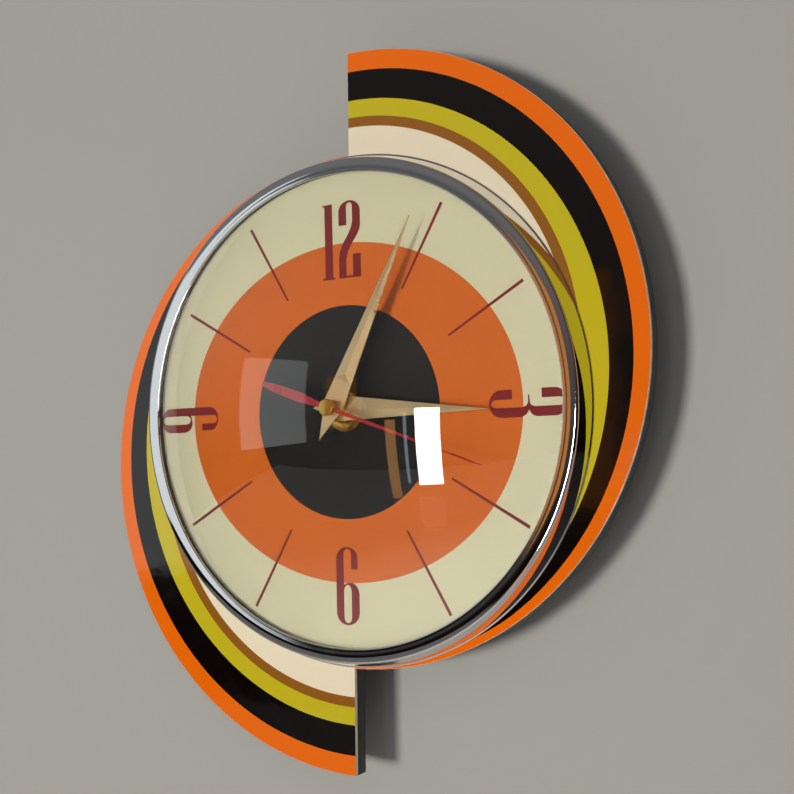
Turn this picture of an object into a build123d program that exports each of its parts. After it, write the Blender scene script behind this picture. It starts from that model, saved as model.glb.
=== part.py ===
from build123d import *
import os
from math import cos, pi, radians, sin, sqrt

# Quartz wall clock on a split backing board.
#
# The board is a disc cut down the middle: the right half is slid up and the left half down.
# A round dial under convex glass sits in a chrome bezel over the middle, and a battery
# movement behind the board drives three hands through a threaded bushing.
#
# Everything is drawn about the hand axis (x = 0, z = 0) with the wall at y = 0, X to the
# right, Z up and the front facing -Y. Each piece is then lowered by HANGER_RISE as it is
# saved, so that the origin lies on the wall at the middle of the hanging hole.
# All sizes are millimetres. In a pair of depths, "back" is nearer the wall than "front".

# ---------------------------------------------------------------- fits
RUN_GAP = 0.06          # radial gap between a shaft and the hole it turns in
PRESS_GAP = 0.02        # radial gap where one piece is pushed on another
SEAT_GAP = 0.05         # gap between faces that are clamped or laid together
LOOSE_GAP = 0.3         # gap round pieces that drop into a slot or a bay

# ---------------------------------------------------------------- backing board
OVERALL_HEIGHT = 305.0
SPLIT_SHIFT = 44.2      # how far the two half-discs are slid apart along the cut
BOARD_THICKNESS = 6.2
LAMINATE_THICKNESS = 1.8
BOARD_RADIUS = (OVERALL_HEIGHT - SPLIT_SHIFT) / 2

# ---------------------------------------------------------------- dial, glass and bezel
SPACER_THICKNESS = 3.4
SPACER_RADIUS = 101.6
DIAL_THICKNESS = 0.8
DIAL_RADIUS = 102.4
GASKET_INNER = 99.2
GASKET_THICKNESS = 0.25
GLASS_RADIUS = 102.0
GLASS_RISE = 30.0
GLASS_THICKNESS = 1.6
BEZEL_BASE_RADIUS = 107.3
BEZEL_RIM_RADIUS = 104.8
BEZEL_LIP_RADIUS = 98.7
BEZEL_SHEET = 0.8
BEZEL_EDGE_ROUND = 0.7
BEZEL_LIP_ROUND = 0.27
TAB_WIDTH = 6.0
TAB_FOLD = 8.0
TAB_ANGLES = (45, 135, 225, 315)

# ---------------------------------------------------------------- movement case
CASE_SIZE = 56.0
CASE_DEPTH = 16.0
CASE_WALL = 1.2
CASE_FLOOR = 1.0
COVER_THICKNESS = 1.0
COVER_LIP_DEPTH = 2.0
SCREW_BOSS_RADIUS = 2.25
CASE_SCREW_RADIUS = 1.0
CASE_SCREW_LENGTH = 7.0
CASE_SCREW_HEAD_RADIUS = 1.9
CASE_SCREW_HEAD = 0.8
CASE_SCREW_SLOT_WIDTH = 0.5
CASE_SCREW_SLOT_DEPTH = 0.4
BOSS_INSET = 3.2        # from the case's outside to a screw boss's middle
BOSS_OVER_BAY = 1.75    # from the battery bay's wall up to a lower screw boss's middle

# ---------------------------------------------------------------- battery (AA)
CELL_RADIUS = 7.1
CELL_LENGTH = 49.0
CELL_CAP_RADIUS = 2.75
CELL_CAP_LENGTH = 1.0
CELL_EDGE_ROUND = 0.6
CONTACT_SHEET = 0.4
CONTACT_WIDTH = 7.0
CONTACT_INSET = 1.0     # a contact strip ends this far inside the battery's top and bottom
SPRING_REACH = 1.7
SPRING_FOOT = 4.5       # half the spring's height where it leaves the strip, outside
SPRING_FOOT_INSIDE = 3.5
SPRING_CREST = 0.8      # half its height where it touches the battery, outside
SPRING_CREST_INSIDE = 0.6
NUB_RADIUS = 2.2
BAY_SIDE_GAP = 0.3

# ---------------------------------------------------------------- hanging and clamping
HANGER_SHEET = 1.0
HANGER_WIDTH = 40.0
HANGER_RISE = 38.0      # from the hand axis up to the hanging hole
HANGER_HOLE_RADIUS = 3.0
HANGER_TAB_MARGIN = 8.0
HANGER_DROP = 20.0
HANGER_OVER_CASE = 2.0  # gap between the case's top and the hanger's shelf
WING_REACH = 38.0
WING_HEIGHT = 12.0
WING_HOLE_INSET = 4.5
WOOD_SCREW_RADIUS = 1.5
WOOD_SCREW_LENGTH = 6.5
WOOD_SCREW_HEAD_RADIUS = 3.0
WOOD_SCREW_HEAD = 2.0
WOOD_SCREW_SLOT_WIDTH = 0.8
WOOD_SCREW_SLOT_DEPTH = 1.0
RUBBER_WASHER_RADIUS = 12.0
RUBBER_WASHER_THICKNESS = 1.0
BUSHING_RADIUS = 3.9
BUSHING_FLANGE_RADIUS = 5.5
BUSHING_FLANGE = 1.0
BUSHING_PAST_DIAL = 4.4
BRASS_WASHER_RADIUS = 8.5
BRASS_WASHER_BORE = 5.1
BRASS_WASHER_THICKNESS = 0.8
NUT_ACROSS_CORNERS = 12.7
NUT_HEIGHT = 2.5

# ---------------------------------------------------------------- hands
REST_HOUR = 3
REST_MINUTE = 4
REST_SECOND = 18.2
HAND_SHEET = 0.5
HAND_RIDGE = 0.5
RIDGE_START = 12.0
RIDGE_CREST = 15.0      # where the ridge is at its full height
COLLET_HEIGHT = 1.0
COLLET_WALL = 2.0
COLLET_BEHIND = 0.3     # how far a collet reaches behind its hand
COLLET_OVERLAP = 0.5    # how far a collet's rim lies over its hand
PIPE_PAST_COLLET = 0.1
HOUR_HAND_LENGTH = 69.4
HOUR_HAND_TAIL = 11.7
HOUR_HAND_HALF_WIDTH = 5.3
HOUR_HAND_RISE = 6.5    # from the dial's face to the hand's back
MINUTE_HAND_LENGTH = 84.2
MINUTE_HAND_TAIL = 14.6
MINUTE_HAND_HALF_WIDTH = 4.9
MINUTE_HAND_RISE = 9.8
MINUTE_HAND_DROOP = 1.0  # degrees that it leans back towards the dial
HAND_SHOULDER = 1.7      # where the kite is widest, ahead of the axis
SECOND_HAND_SHEET = 0.3
SECOND_HAND_LENGTH = 73.4
SECOND_HAND_TAIL = 34.5
SECOND_TAIL_WIDEST = 14.5
SECOND_TAIL_TAPER = 27.6
SECOND_END_HALF_WIDTH = 0.9      # half widths from the tail's end to the tip
SECOND_TAPER_HALF_WIDTH = 1.8
SECOND_WIDEST_HALF_WIDTH = 2.1
SECOND_NECK_HALF_WIDTH = 0.9
SECOND_ROOT_HALF_WIDTH = 0.8
SECOND_TIP_HALF_WIDTH = 0.25
SECOND_HAND_RISE = 13.7
CAP_RADIUS = 3.5
CAP_HEIGHT = 1.5
CAP_BEVEL = 0.25
SOCKET_RADIUS = 3.2

# ---------------------------------------------------------------- gear train
SECONDS_ARBOR_RADIUS = 0.5
MINUTE_PIPE_RADIUS = 1.6
HOUR_PIPE_RADIUS = 2.5
PIVOT_RADIUS = 0.4
PIVOT_BOSS_WALL = 0.6
ROTOR_SHAFT_RADIUS = 0.6
MOTION_POST_RADIUS = 0.8
STEM_RADIUS = 1.0
WHEEL_THICKNESS = 0.8
PINION_THICKNESS = 1.0
LAYER_GAP = 0.4          # between a wheel and the next wheel that passes behind it
END_PLAY = 0.1           # how far a pivot or a pinion stops short of, or reaches past, its neighbour
PIVOT_FLOOR = 0.5        # case floor left under a pivot

ROTOR_TEETH = 12
INTERMEDIATE_TEETH = 60
INTERMEDIATE_PINION_TEETH = 10
SECONDS_TEETH = 60
SECONDS_PINION_TEETH = 8
THIRD_TEETH = 60
THIRD_PINION_TEETH = 8
MINUTE_TEETH = 64
CANNON_TEETH = 15
MOTION_TEETH = 45
MOTION_PINION_TEETH = 12
HOUR_TEETH = 48
STEM_TEETH = 15

TRAIN_MODULE = 0.28
MOTION_MODULE = 0.30
# Tooth shapes: height over and depth under the pitch circle in modules, then the tooth's width
# at the pitch circle and at its tip as shares of the tooth spacing.
WHEEL_TOOTH = (0.95, 1.1, 0.40, 0.14)
PINION_TOOTH = (0.6, 1.35, 0.34, 0.16)

THIRD_DIRECTION = 150
INTERMEDIATE_DIRECTION = 75
ROTOR_DIRECTION = 150
MOTION_DIRECTION = 20
STEM_DIRECTION = 50

MAGNET_RADIUS = 3.0
MAGNET_LENGTH = 2.0
MAGNET_AIR_GAP = 0.6
STATOR_THICKNESS = 1.0
STATOR_BAR = 3.9         # from the rotor's middle to the stator bar's top and bottom edges
STATOR_LEG = 4.0
STATOR_LEFT = 14.0       # from the rotor's middle to the stator's left side
STATOR_RIGHT = 14.0
STATOR_POST_INSET = 2.0  # from the stator's side to a post's middle
COIL_RADIUS = 3.7
COIL_FLANGE = 0.8
COIL_CORE_HEIGHT = 2.4
BOBBIN_WALL = 0.5
PLATE_THICKNESS = 1.0
PLATE_HALF_WIDTH = 22.0
POST_RADIUS = 1.5
POST_INSET = 1.7         # from the train plate's side to a post's middle
CIRCUIT_THICKNESS = 0.8
CIRCUIT_WIDTH = 11.8
CIRCUIT_HEIGHT = 10.4
CIRCUIT_LEFT_OF_STEM = 4.0
CIRCUIT_OVER_STEM = 3.3
CIRCUIT_BEFORE_WHEEL = 0.6  # gap in front of the intermediate wheel
CHIP_RADIUS = 2.4
CHIP_HEIGHT = 1.2
CHIP_ROUND = 0.7
CHIP_INSET = 0.6         # from the circuit board's low edge to the chip
CRYSTAL_RADIUS = 1.0
CRYSTAL_LENGTH = 6.0
CRYSTAL_INSET = 0.8      # from the circuit board's high edge to the crystal
KNOB_RADIUS = 6.0
KNOB_HEIGHT = 2.6
KNOB_NOTCHES = 24
KNOB_BACK = -0.8         # the knob's back face, just inside the cover's
KNOB_CUP_WALL = 1.0
KNOB_CUP_FLOOR = 1.0

# ---------------------------------------------------------------- depths along the axis
CASE_FRONT = -CASE_DEPTH
CASE_INSIDE = CASE_FRONT + CASE_FLOOR
HANGER_FRONT = CASE_FRONT - HANGER_SHEET
BOARD_BACK = HANGER_FRONT - RUBBER_WASHER_THICKNESS
BOARD_FRONT = BOARD_BACK - BOARD_THICKNESS
LAMINATE_FRONT = BOARD_FRONT - LAMINATE_THICKNESS
SPACER_FRONT = LAMINATE_FRONT - SPACER_THICKNESS
DIAL_FRONT = SPACER_FRONT - DIAL_THICKNESS
BRASS_WASHER_FRONT = DIAL_FRONT - BRASS_WASHER_THICKNESS
NUT_FRONT = BRASS_WASHER_FRONT - NUT_HEIGHT
BUSHING_FRONT = DIAL_FRONT - BUSHING_PAST_DIAL
GLASS_EDGE = DIAL_FRONT - GASKET_THICKNESS - SEAT_GAP

HOUR_HAND_BACK = DIAL_FRONT - HOUR_HAND_RISE
MINUTE_HAND_BACK = DIAL_FRONT - MINUTE_HAND_RISE
SECOND_HAND_BACK = DIAL_FRONT - SECOND_HAND_RISE
SECOND_HAND_FRONT = SECOND_HAND_BACK - SECOND_HAND_SHEET
HOUR_PIPE_FRONT = HOUR_HAND_BACK + COLLET_BEHIND - COLLET_HEIGHT - PIPE_PAST_COLLET
MINUTE_PIPE_FRONT = MINUTE_HAND_BACK + COLLET_BEHIND - COLLET_HEIGHT - PIPE_PAST_COLLET

# Wheels from the dial side towards the wall; each name is the wheel's front face.
HOUR_WHEEL_FRONT = CASE_INSIDE + BUSHING_FLANGE + LAYER_GAP / 2
HOUR_WHEEL_BACK = HOUR_WHEEL_FRONT + WHEEL_THICKNESS
CANNON_FRONT = HOUR_WHEEL_BACK + LAYER_GAP / 2
CANNON_BACK = CANNON_FRONT + PINION_THICKNESS
MINUTE_WHEEL_FRONT = CANNON_BACK + LAYER_GAP
MINUTE_WHEEL_BACK = MINUTE_WHEEL_FRONT + WHEEL_THICKNESS
THIRD_WHEEL_FRONT = MINUTE_WHEEL_BACK + LAYER_GAP
THIRD_WHEEL_BACK = THIRD_WHEEL_FRONT + WHEEL_THICKNESS
SECONDS_WHEEL_FRONT = THIRD_WHEEL_BACK + LAYER_GAP
SECONDS_WHEEL_BACK = SECONDS_WHEEL_FRONT + WHEEL_THICKNESS
INTERMEDIATE_FRONT = SECONDS_WHEEL_BACK + LAYER_GAP
INTERMEDIATE_BACK = INTERMEDIATE_FRONT + WHEEL_THICKNESS
PLATE_FRONT = INTERMEDIATE_BACK + LAYER_GAP
PLATE_BACK = PLATE_FRONT + PLATE_THICKNESS
PIVOT_FRONT = CASE_INSIDE + PIVOT_FLOOR
PIVOT_BACK = PLATE_BACK - END_PLAY
BOSS_BACK = HOUR_WHEEL_BACK - LAYER_GAP
MAGNET_BACK = THIRD_WHEEL_FRONT - LAYER_GAP
MAGNET_FRONT = MAGNET_BACK - MAGNET_LENGTH
STATOR_FRONT = (MAGNET_FRONT + MAGNET_BACK - STATOR_THICKNESS) / 2
STATOR_BACK = STATOR_FRONT + STATOR_THICKNESS


# ---------------------------------------------------------------- drawing helpers
def polar(distance, direction):
    """Point at a distance and a direction in degrees, as seen from the front."""
    return (distance * cos(radians(direction)), distance * sin(radians(direction)))


def front_plane(depth):
    """Drawing plane at a depth: local x is X, local y is Z, and it faces the viewer."""
    return Plane((0, depth, 0), x_dir=(1, 0, 0), z_dir=(0, -1, 0))


def sheet(outline, back, front):
    """Outline made solid between two depths."""
    return extrude(front_plane(back) * outline, amount=back - front, dir=(0, -1, 0))


def disc(radius, back, front, at=(0, 0)):
    """Round solid along the depth."""
    return sheet(Pos(*at) * Circle(radius), back, front)


def ring(outer, inner, back, front, at=(0, 0)):
    """Round solid with a hole along the depth."""
    return sheet(Pos(*at) * (Circle(outer) - Circle(inner)), back, front)


def block(left, right, low, high, back, front):
    """Box from its sides."""
    middle = Pos((left + right) / 2, (low + high) / 2)
    return sheet(middle * Rectangle(right - left, high - low), back, front)


def gear_outline(teeth, module, tooth_angle, is_pinion=False):
    """Clock-tooth outline: flanks that point at the middle, with tapered tips."""
    pitch_radius = teeth * module / 2
    addendum, dedendum, share, tip_share = PINION_TOOTH if is_pinion else WHEEL_TOOTH
    root = pitch_radius - dedendum * module
    tip = pitch_radius + addendum * module
    step = 360 / teeth
    corners = []
    for tooth in range(teeth):
        middle = tooth_angle + tooth * step
        for radius, offset in (
            (root, -share / 2),
            (pitch_radius, -share / 2),
            (tip, -tip_share / 2),
            (tip, tip_share / 2),
            (pitch_radius, share / 2),
            (root, share / 2),
        ):
            corners.append(polar(radius, middle + offset * step))
    return Polygon(*corners, align=None)


def gear(teeth, module, tooth_angle, back, front, bore=0.0, at=(0, 0), is_pinion=False):
    """Gear between two depths, with a tooth at tooth_angle."""
    outline = gear_outline(teeth, module, tooth_angle, is_pinion)
    if bore:
        outline = outline - Circle(bore)
    return sheet(Pos(*at) * outline, back, front)


def meshing_angle(direction, own_teeth, other_teeth, other_tooth_angle):
    """Tooth angle that puts a gear in mesh; direction runs from the other gear to it."""
    past_tooth = (direction - other_tooth_angle) % (360 / other_teeth)
    return direction + 180 + past_tooth * other_teeth / own_teeth + 180 / own_teeth


def stepped_toward(start, distance, direction):
    """Point at a distance and a direction from another point."""
    dx, dz = polar(distance, direction)
    return (start[0] + dx, start[1] + dz)


def save(name, piece):
    """Write one node, lowered so that the origin is the hanging hole."""
    export_step(Pos(0, 0, -HANGER_RISE) * piece, f"parts/{name}.step")


os.makedirs("parts", exist_ok=True)

# ---------------------------------------------------------------- board and laminate
def split_disc(radius, shift):
    """Disc cut down the middle, with its right half slid up and its left half down."""
    side = Rectangle(2 * radius, 4 * radius)
    right = (Pos(0, shift / 2) * Circle(radius)) & (Pos(radius, 0) * side)
    left = (Pos(0, -shift / 2) * Circle(radius)) & (Pos(-radius, 0) * side)
    return right + left


BUSHING_HOLE_RADIUS = BUSHING_RADIUS + LOOSE_GAP
WING_HOLE_X = WING_REACH - WING_HOLE_INSET
wing_holes = [(-WING_HOLE_X, 0), (WING_HOLE_X, 0)]
wood_screw_tip = CASE_FRONT - WOOD_SCREW_LENGTH


def tab_slots(back, front):
    """Four slots that the bezel's tabs pass through."""
    slot = block(
        BEZEL_BASE_RADIUS - BEZEL_SHEET - LOOSE_GAP,
        BEZEL_BASE_RADIUS + LOOSE_GAP,
        -TAB_WIDTH / 2 - LOOSE_GAP,
        TAB_WIDTH / 2 + LOOSE_GAP,
        back,
        front,
    )
    return Part() + [Rot(0, angle, 0) * slot for angle in TAB_ANGLES]


board_outline = split_disc(BOARD_RADIUS, SPLIT_SHIFT) - Circle(BUSHING_HOLE_RADIUS)
board = sheet(board_outline, BOARD_BACK, BOARD_FRONT)
board -= tab_slots(BOARD_BACK, BOARD_FRONT)
for hole in wing_holes:
    board -= disc(WOOD_SCREW_RADIUS + SEAT_GAP, BOARD_BACK, wood_screw_tip - SEAT_GAP, hole)
save("backing_board", board)

laminate = sheet(board_outline, BOARD_FRONT, LAMINATE_FRONT)
laminate -= tab_slots(BOARD_FRONT, LAMINATE_FRONT)
save("laminate_face", laminate)

# ---------------------------------------------------------------- dial, gasket, glass, bezel
save("dial_spacer", ring(SPACER_RADIUS, BUSHING_HOLE_RADIUS, LAMINATE_FRONT, SPACER_FRONT))
save("dial_disc", ring(DIAL_RADIUS, BUSHING_HOLE_RADIUS, SPACER_FRONT, DIAL_FRONT))
save("glass_gasket", ring(DIAL_RADIUS, GASKET_INNER, DIAL_FRONT, DIAL_FRONT - GASKET_THICKNESS))

GLASS_SPHERE = (GLASS_RADIUS**2 + GLASS_RISE**2) / (2 * GLASS_RISE)
GLASS_MIDDLE = GLASS_EDGE + GLASS_SPHERE - GLASS_RISE


def glass_depth(radius, thickness=0.0):
    """Depth of the glass at a radius: inside face, or outside face at its thickness."""
    return GLASS_MIDDLE - sqrt((GLASS_SPHERE + thickness) ** 2 - radius**2)


def glass_arc(thickness):
    """Curve of one glass face from the axis to the edge."""
    stops = [(r, glass_depth(r, thickness)) for r in (0, GLASS_RADIUS / 2, GLASS_RADIUS)]
    return ThreePointArc(*stops)


inside_arc = glass_arc(0.0)
outside_arc = glass_arc(GLASS_THICKNESS)
glass_edge_line = Line(inside_arc @ 1, outside_arc @ 1)
glass_axis_line = Line(inside_arc @ 0, outside_arc @ 0)
glass_profile = make_face([inside_arc, glass_edge_line, outside_arc, glass_axis_line])
save("convex_glass", revolve(glass_profile, Axis.Y))

LIP_BACK = glass_depth(BEZEL_LIP_RADIUS, GLASS_THICKNESS) - SEAT_GAP
RIM_FRONT = LIP_BACK - BEZEL_SHEET
bezel_profile = make_face(
    Polyline(
        (BEZEL_BASE_RADIUS, LAMINATE_FRONT),
        (BEZEL_RIM_RADIUS, RIM_FRONT),
        (BEZEL_LIP_RADIUS, RIM_FRONT),
        (BEZEL_LIP_RADIUS, LIP_BACK),
        (BEZEL_RIM_RADIUS - BEZEL_SHEET, LIP_BACK),
        (BEZEL_BASE_RADIUS - BEZEL_SHEET, LAMINATE_FRONT),
        close=True,
    )
)
outer_corner = bezel_profile.vertices().group_by(Axis.Y)[0].sort_by(Axis.X)[-1]
bezel_profile = fillet(outer_corner, BEZEL_EDGE_ROUND)
lip_corner = bezel_profile.vertices().group_by(Axis.Y)[0].sort_by(Axis.X)[0]
bezel_profile = fillet(lip_corner, BEZEL_LIP_ROUND)
bezel = revolve(bezel_profile, Axis.Y)
fold_back = BOARD_BACK + SEAT_GAP + BEZEL_SHEET
tab = block(
    BEZEL_BASE_RADIUS - BEZEL_SHEET,
    BEZEL_BASE_RADIUS,
    -TAB_WIDTH / 2,
    TAB_WIDTH / 2,
    fold_back,
    LAMINATE_FRONT,
)
tab += block(
    BEZEL_BASE_RADIUS - TAB_FOLD,
    BEZEL_BASE_RADIUS,
    -TAB_WIDTH / 2,
    TAB_WIDTH / 2,
    fold_back,
    BOARD_BACK + SEAT_GAP,
)
for angle in TAB_ANGLES:
    bezel += Rot(0, angle, 0) * tab
save("bezel", bezel)

# ---------------------------------------------------------------- gear places
THIRD_DISTANCE = (SECONDS_PINION_TEETH + THIRD_TEETH) * TRAIN_MODULE / 2
MINUTE_MODULE = 2 * THIRD_DISTANCE / (THIRD_PINION_TEETH + MINUTE_TEETH)
INTERMEDIATE_DISTANCE = (SECONDS_TEETH + INTERMEDIATE_PINION_TEETH) * TRAIN_MODULE / 2
ROTOR_DISTANCE = (INTERMEDIATE_TEETH + ROTOR_TEETH) * TRAIN_MODULE / 2
MOTION_DISTANCE = (CANNON_TEETH + MOTION_TEETH) * MOTION_MODULE / 2
STEM_DISTANCE = (MOTION_TEETH + STEM_TEETH) * MOTION_MODULE / 2

third_at = polar(THIRD_DISTANCE, THIRD_DIRECTION)
intermediate_at = polar(INTERMEDIATE_DISTANCE, INTERMEDIATE_DIRECTION)
rotor_at = stepped_toward(intermediate_at, ROTOR_DISTANCE, ROTOR_DIRECTION)
motion_at = polar(MOTION_DISTANCE, MOTION_DIRECTION)
stem_at = stepped_toward(motion_at, STEM_DISTANCE, STEM_DIRECTION)

# Each wheel of the middle has a tooth that points at its neighbour, and the neighbour has a gap there.
seconds_tooth = INTERMEDIATE_DIRECTION
seconds_pinion_tooth = THIRD_DIRECTION
cannon_tooth = MOTION_DIRECTION
intermediate_pinion_tooth = meshing_angle(
    INTERMEDIATE_DIRECTION, INTERMEDIATE_PINION_TEETH, SECONDS_TEETH, seconds_tooth
)
intermediate_tooth = ROTOR_DIRECTION
rotor_tooth = meshing_angle(ROTOR_DIRECTION, ROTOR_TEETH, INTERMEDIATE_TEETH, intermediate_tooth)
third_tooth = meshing_angle(THIRD_DIRECTION, THIRD_TEETH, SECONDS_PINION_TEETH, seconds_pinion_tooth)
third_pinion_tooth = THIRD_DIRECTION + 180
minute_tooth = THIRD_DIRECTION + 180 / MINUTE_TEETH
motion_tooth = meshing_angle(MOTION_DIRECTION, MOTION_TEETH, CANNON_TEETH, cannon_tooth)
motion_pinion_tooth = MOTION_DIRECTION + 180
hour_tooth = MOTION_DIRECTION + 180 / HOUR_TEETH
stem_tooth = meshing_angle(STEM_DIRECTION, STEM_TEETH, MOTION_TEETH, motion_tooth)


# ---------------------------------------------------------------- wheels on the hand axis
hour_bore = MINUTE_PIPE_RADIUS + RUN_GAP
minute_bore = SECONDS_ARBOR_RADIUS + RUN_GAP

hour_wheel = gear(HOUR_TEETH, MOTION_MODULE, hour_tooth, HOUR_WHEEL_BACK, HOUR_WHEEL_FRONT, hour_bore)
hour_wheel += ring(HOUR_PIPE_RADIUS, hour_bore, HOUR_WHEEL_BACK, HOUR_PIPE_FRONT)
save("hour_wheel", hour_wheel)

minute_wheel = gear(
    MINUTE_TEETH, MINUTE_MODULE, minute_tooth, MINUTE_WHEEL_BACK, MINUTE_WHEEL_FRONT, minute_bore
)
minute_wheel += ring(MINUTE_PIPE_RADIUS, minute_bore, MINUTE_WHEEL_BACK, MINUTE_PIPE_FRONT)
minute_wheel += gear(
    CANNON_TEETH, MOTION_MODULE, cannon_tooth, CANNON_BACK, CANNON_FRONT, minute_bore, is_pinion=True
)
save("minute_wheel", minute_wheel)

seconds_arbor = disc(SECONDS_ARBOR_RADIUS, PIVOT_BACK, SECOND_HAND_BACK)
seconds_arbor += gear(
    SECONDS_PINION_TEETH,
    TRAIN_MODULE,
    seconds_pinion_tooth,
    THIRD_WHEEL_BACK,
    THIRD_WHEEL_FRONT,
    is_pinion=True,
)
save("seconds_arbor", seconds_arbor)
save(
    "seconds_wheel",
    gear(
        SECONDS_TEETH,
        TRAIN_MODULE,
        seconds_tooth,
        SECONDS_WHEEL_BACK,
        SECONDS_WHEEL_FRONT,
        SECONDS_ARBOR_RADIUS + PRESS_GAP,
    ),
)

# ---------------------------------------------------------------- wheels beside the hand axis
third_wheel = disc(PIVOT_RADIUS, PIVOT_BACK, PIVOT_FRONT, third_at)
third_wheel += gear(THIRD_TEETH, TRAIN_MODULE, third_tooth, THIRD_WHEEL_BACK, THIRD_WHEEL_FRONT, at=third_at)
third_wheel += gear(
    THIRD_PINION_TEETH,
    MINUTE_MODULE,
    third_pinion_tooth,
    THIRD_WHEEL_FRONT,
    MINUTE_WHEEL_FRONT - END_PLAY,
    at=third_at,
    is_pinion=True,
)
save("third_wheel", third_wheel)

intermediate_wheel = disc(PIVOT_RADIUS, PIVOT_BACK, PIVOT_FRONT, intermediate_at)
intermediate_wheel += gear(
    INTERMEDIATE_TEETH,
    TRAIN_MODULE,
    intermediate_tooth,
    INTERMEDIATE_BACK,
    INTERMEDIATE_FRONT,
    at=intermediate_at,
)
intermediate_wheel += gear(
    INTERMEDIATE_PINION_TEETH,
    TRAIN_MODULE,
    intermediate_pinion_tooth,
    INTERMEDIATE_FRONT,
    SECONDS_WHEEL_FRONT - END_PLAY,
    at=intermediate_at,
    is_pinion=True,
)
save("intermediate_wheel", intermediate_wheel)

rotor_pinion = disc(PIVOT_RADIUS, PIVOT_BACK, PIVOT_FRONT, rotor_at)
rotor_pinion += disc(ROTOR_SHAFT_RADIUS, INTERMEDIATE_BACK, MAGNET_FRONT, rotor_at)
rotor_pinion += gear(
    ROTOR_TEETH,
    TRAIN_MODULE,
    rotor_tooth,
    INTERMEDIATE_BACK + END_PLAY,
    INTERMEDIATE_FRONT - END_PLAY,
    at=rotor_at,
    is_pinion=True,
)
save("rotor_pinion", rotor_pinion)
save(
    "rotor_magnet",
    ring(MAGNET_RADIUS, ROTOR_SHAFT_RADIUS + PRESS_GAP, MAGNET_BACK, MAGNET_FRONT, rotor_at),
)

motion_bore = MOTION_POST_RADIUS + RUN_GAP
motion_wheel = gear(
    MOTION_TEETH,
    MOTION_MODULE,
    motion_tooth,
    CANNON_FRONT + WHEEL_THICKNESS + END_PLAY,
    CANNON_FRONT + END_PLAY,
    motion_bore,
    motion_at,
)
motion_wheel += gear(
    MOTION_PINION_TEETH,
    MOTION_MODULE,
    motion_pinion_tooth,
    CANNON_FRONT + END_PLAY,
    HOUR_WHEEL_FRONT - END_PLAY,
    motion_bore,
    motion_at,
    is_pinion=True,
)
save("motion_wheel", motion_wheel)

KNOB_FRONT = KNOB_BACK - KNOB_HEIGHT
setting_stem = disc(STEM_RADIUS, KNOB_BACK, PIVOT_FRONT, stem_at)
setting_stem += gear(
    STEM_TEETH,
    MOTION_MODULE,
    stem_tooth,
    CANNON_FRONT + PINION_THICKNESS,
    CANNON_FRONT,
    at=stem_at,
    is_pinion=True,
)
save("setting_stem", setting_stem)
knob_outline = gear_outline(KNOB_NOTCHES, 2 * KNOB_RADIUS / (KNOB_NOTCHES + 2), 0.0)
knob = sheet(Pos(*stem_at) * (knob_outline - Circle(STEM_RADIUS + PRESS_GAP)), KNOB_BACK, KNOB_FRONT)
save("setting_knob", knob)

# ---------------------------------------------------------------- front case
HALF_CASE = CASE_SIZE / 2
BAY_WIDTH = 2 * (CELL_RADIUS + BAY_SIDE_GAP)
BAY_LOW = -HALF_CASE + CASE_WALL
BAY_HIGH = BAY_LOW + BAY_WIDTH
TRAIN_LOW = BAY_HIGH + CASE_WALL
boss_x = HALF_CASE - BOSS_INSET
screw_places = [
    (-boss_x, HALF_CASE - BOSS_INSET),
    (boss_x, HALF_CASE - BOSS_INSET),
    (-boss_x, TRAIN_LOW + BOSS_OVER_BAY),
    (boss_x, TRAIN_LOW + BOSS_OVER_BAY),
]
case_back = -COVER_THICKNESS

coil_z = rotor_at[1] + STATOR_BAR + COIL_RADIUS + LOOSE_GAP
PLATE_LOW = TRAIN_LOW + LOOSE_GAP
PLATE_HIGH = coil_z - COIL_RADIUS
post_x = PLATE_HALF_WIDTH - POST_INSET
plate_posts = [
    (-post_x, PLATE_LOW + POST_INSET),
    (post_x, PLATE_LOW + POST_INSET),
    (-post_x, stem_at[1] - POST_INSET),
    (post_x, stem_at[1]),
]
stator_left = rotor_at[0] - STATOR_LEFT
stator_right = rotor_at[0] + STATOR_RIGHT
stator_low = rotor_at[1] - STATOR_BAR
stator_posts = [
    (stator_left + STATOR_POST_INSET, rotor_at[1]),
    (stator_right - STATOR_POST_INSET, rotor_at[1]),
]
circuit_left = stem_at[0] - CIRCUIT_LEFT_OF_STEM
circuit_low = stem_at[1] + CIRCUIT_OVER_STEM
circuit_back = INTERMEDIATE_FRONT - CIRCUIT_BEFORE_WHEEL
circuit_front = circuit_back - CIRCUIT_THICKNESS
circuit_post_inset = POST_RADIUS + LOOSE_GAP
circuit_posts = [
    (circuit_left + circuit_post_inset, circuit_low + CIRCUIT_HEIGHT - circuit_post_inset),
    (circuit_left + CIRCUIT_WIDTH - circuit_post_inset, circuit_low + circuit_post_inset),
]

front_case = block(-HALF_CASE, HALF_CASE, -HALF_CASE, HALF_CASE, case_back, CASE_FRONT)
front_case -= block(
    -HALF_CASE + CASE_WALL, HALF_CASE - CASE_WALL, TRAIN_LOW, HALF_CASE - CASE_WALL, case_back, CASE_INSIDE
)
front_case -= block(-HALF_CASE + CASE_WALL, HALF_CASE - CASE_WALL, BAY_LOW, BAY_HIGH, case_back, CASE_INSIDE)
for place in screw_places:
    front_case += disc(SCREW_BOSS_RADIUS, case_back, CASE_INSIDE, place)
    front_case -= disc(CASE_SCREW_RADIUS + SEAT_GAP, case_back, case_back - CASE_SCREW_LENGTH, place)
for place in plate_posts:
    front_case += disc(POST_RADIUS, PLATE_FRONT, CASE_INSIDE, place)
for place in stator_posts:
    front_case += disc(POST_RADIUS, STATOR_FRONT, CASE_INSIDE, place)
for place in circuit_posts:
    front_case += disc(POST_RADIUS, circuit_front, CASE_INSIDE, place)
pivot_boss = PIVOT_RADIUS + RUN_GAP + PIVOT_BOSS_WALL
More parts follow.
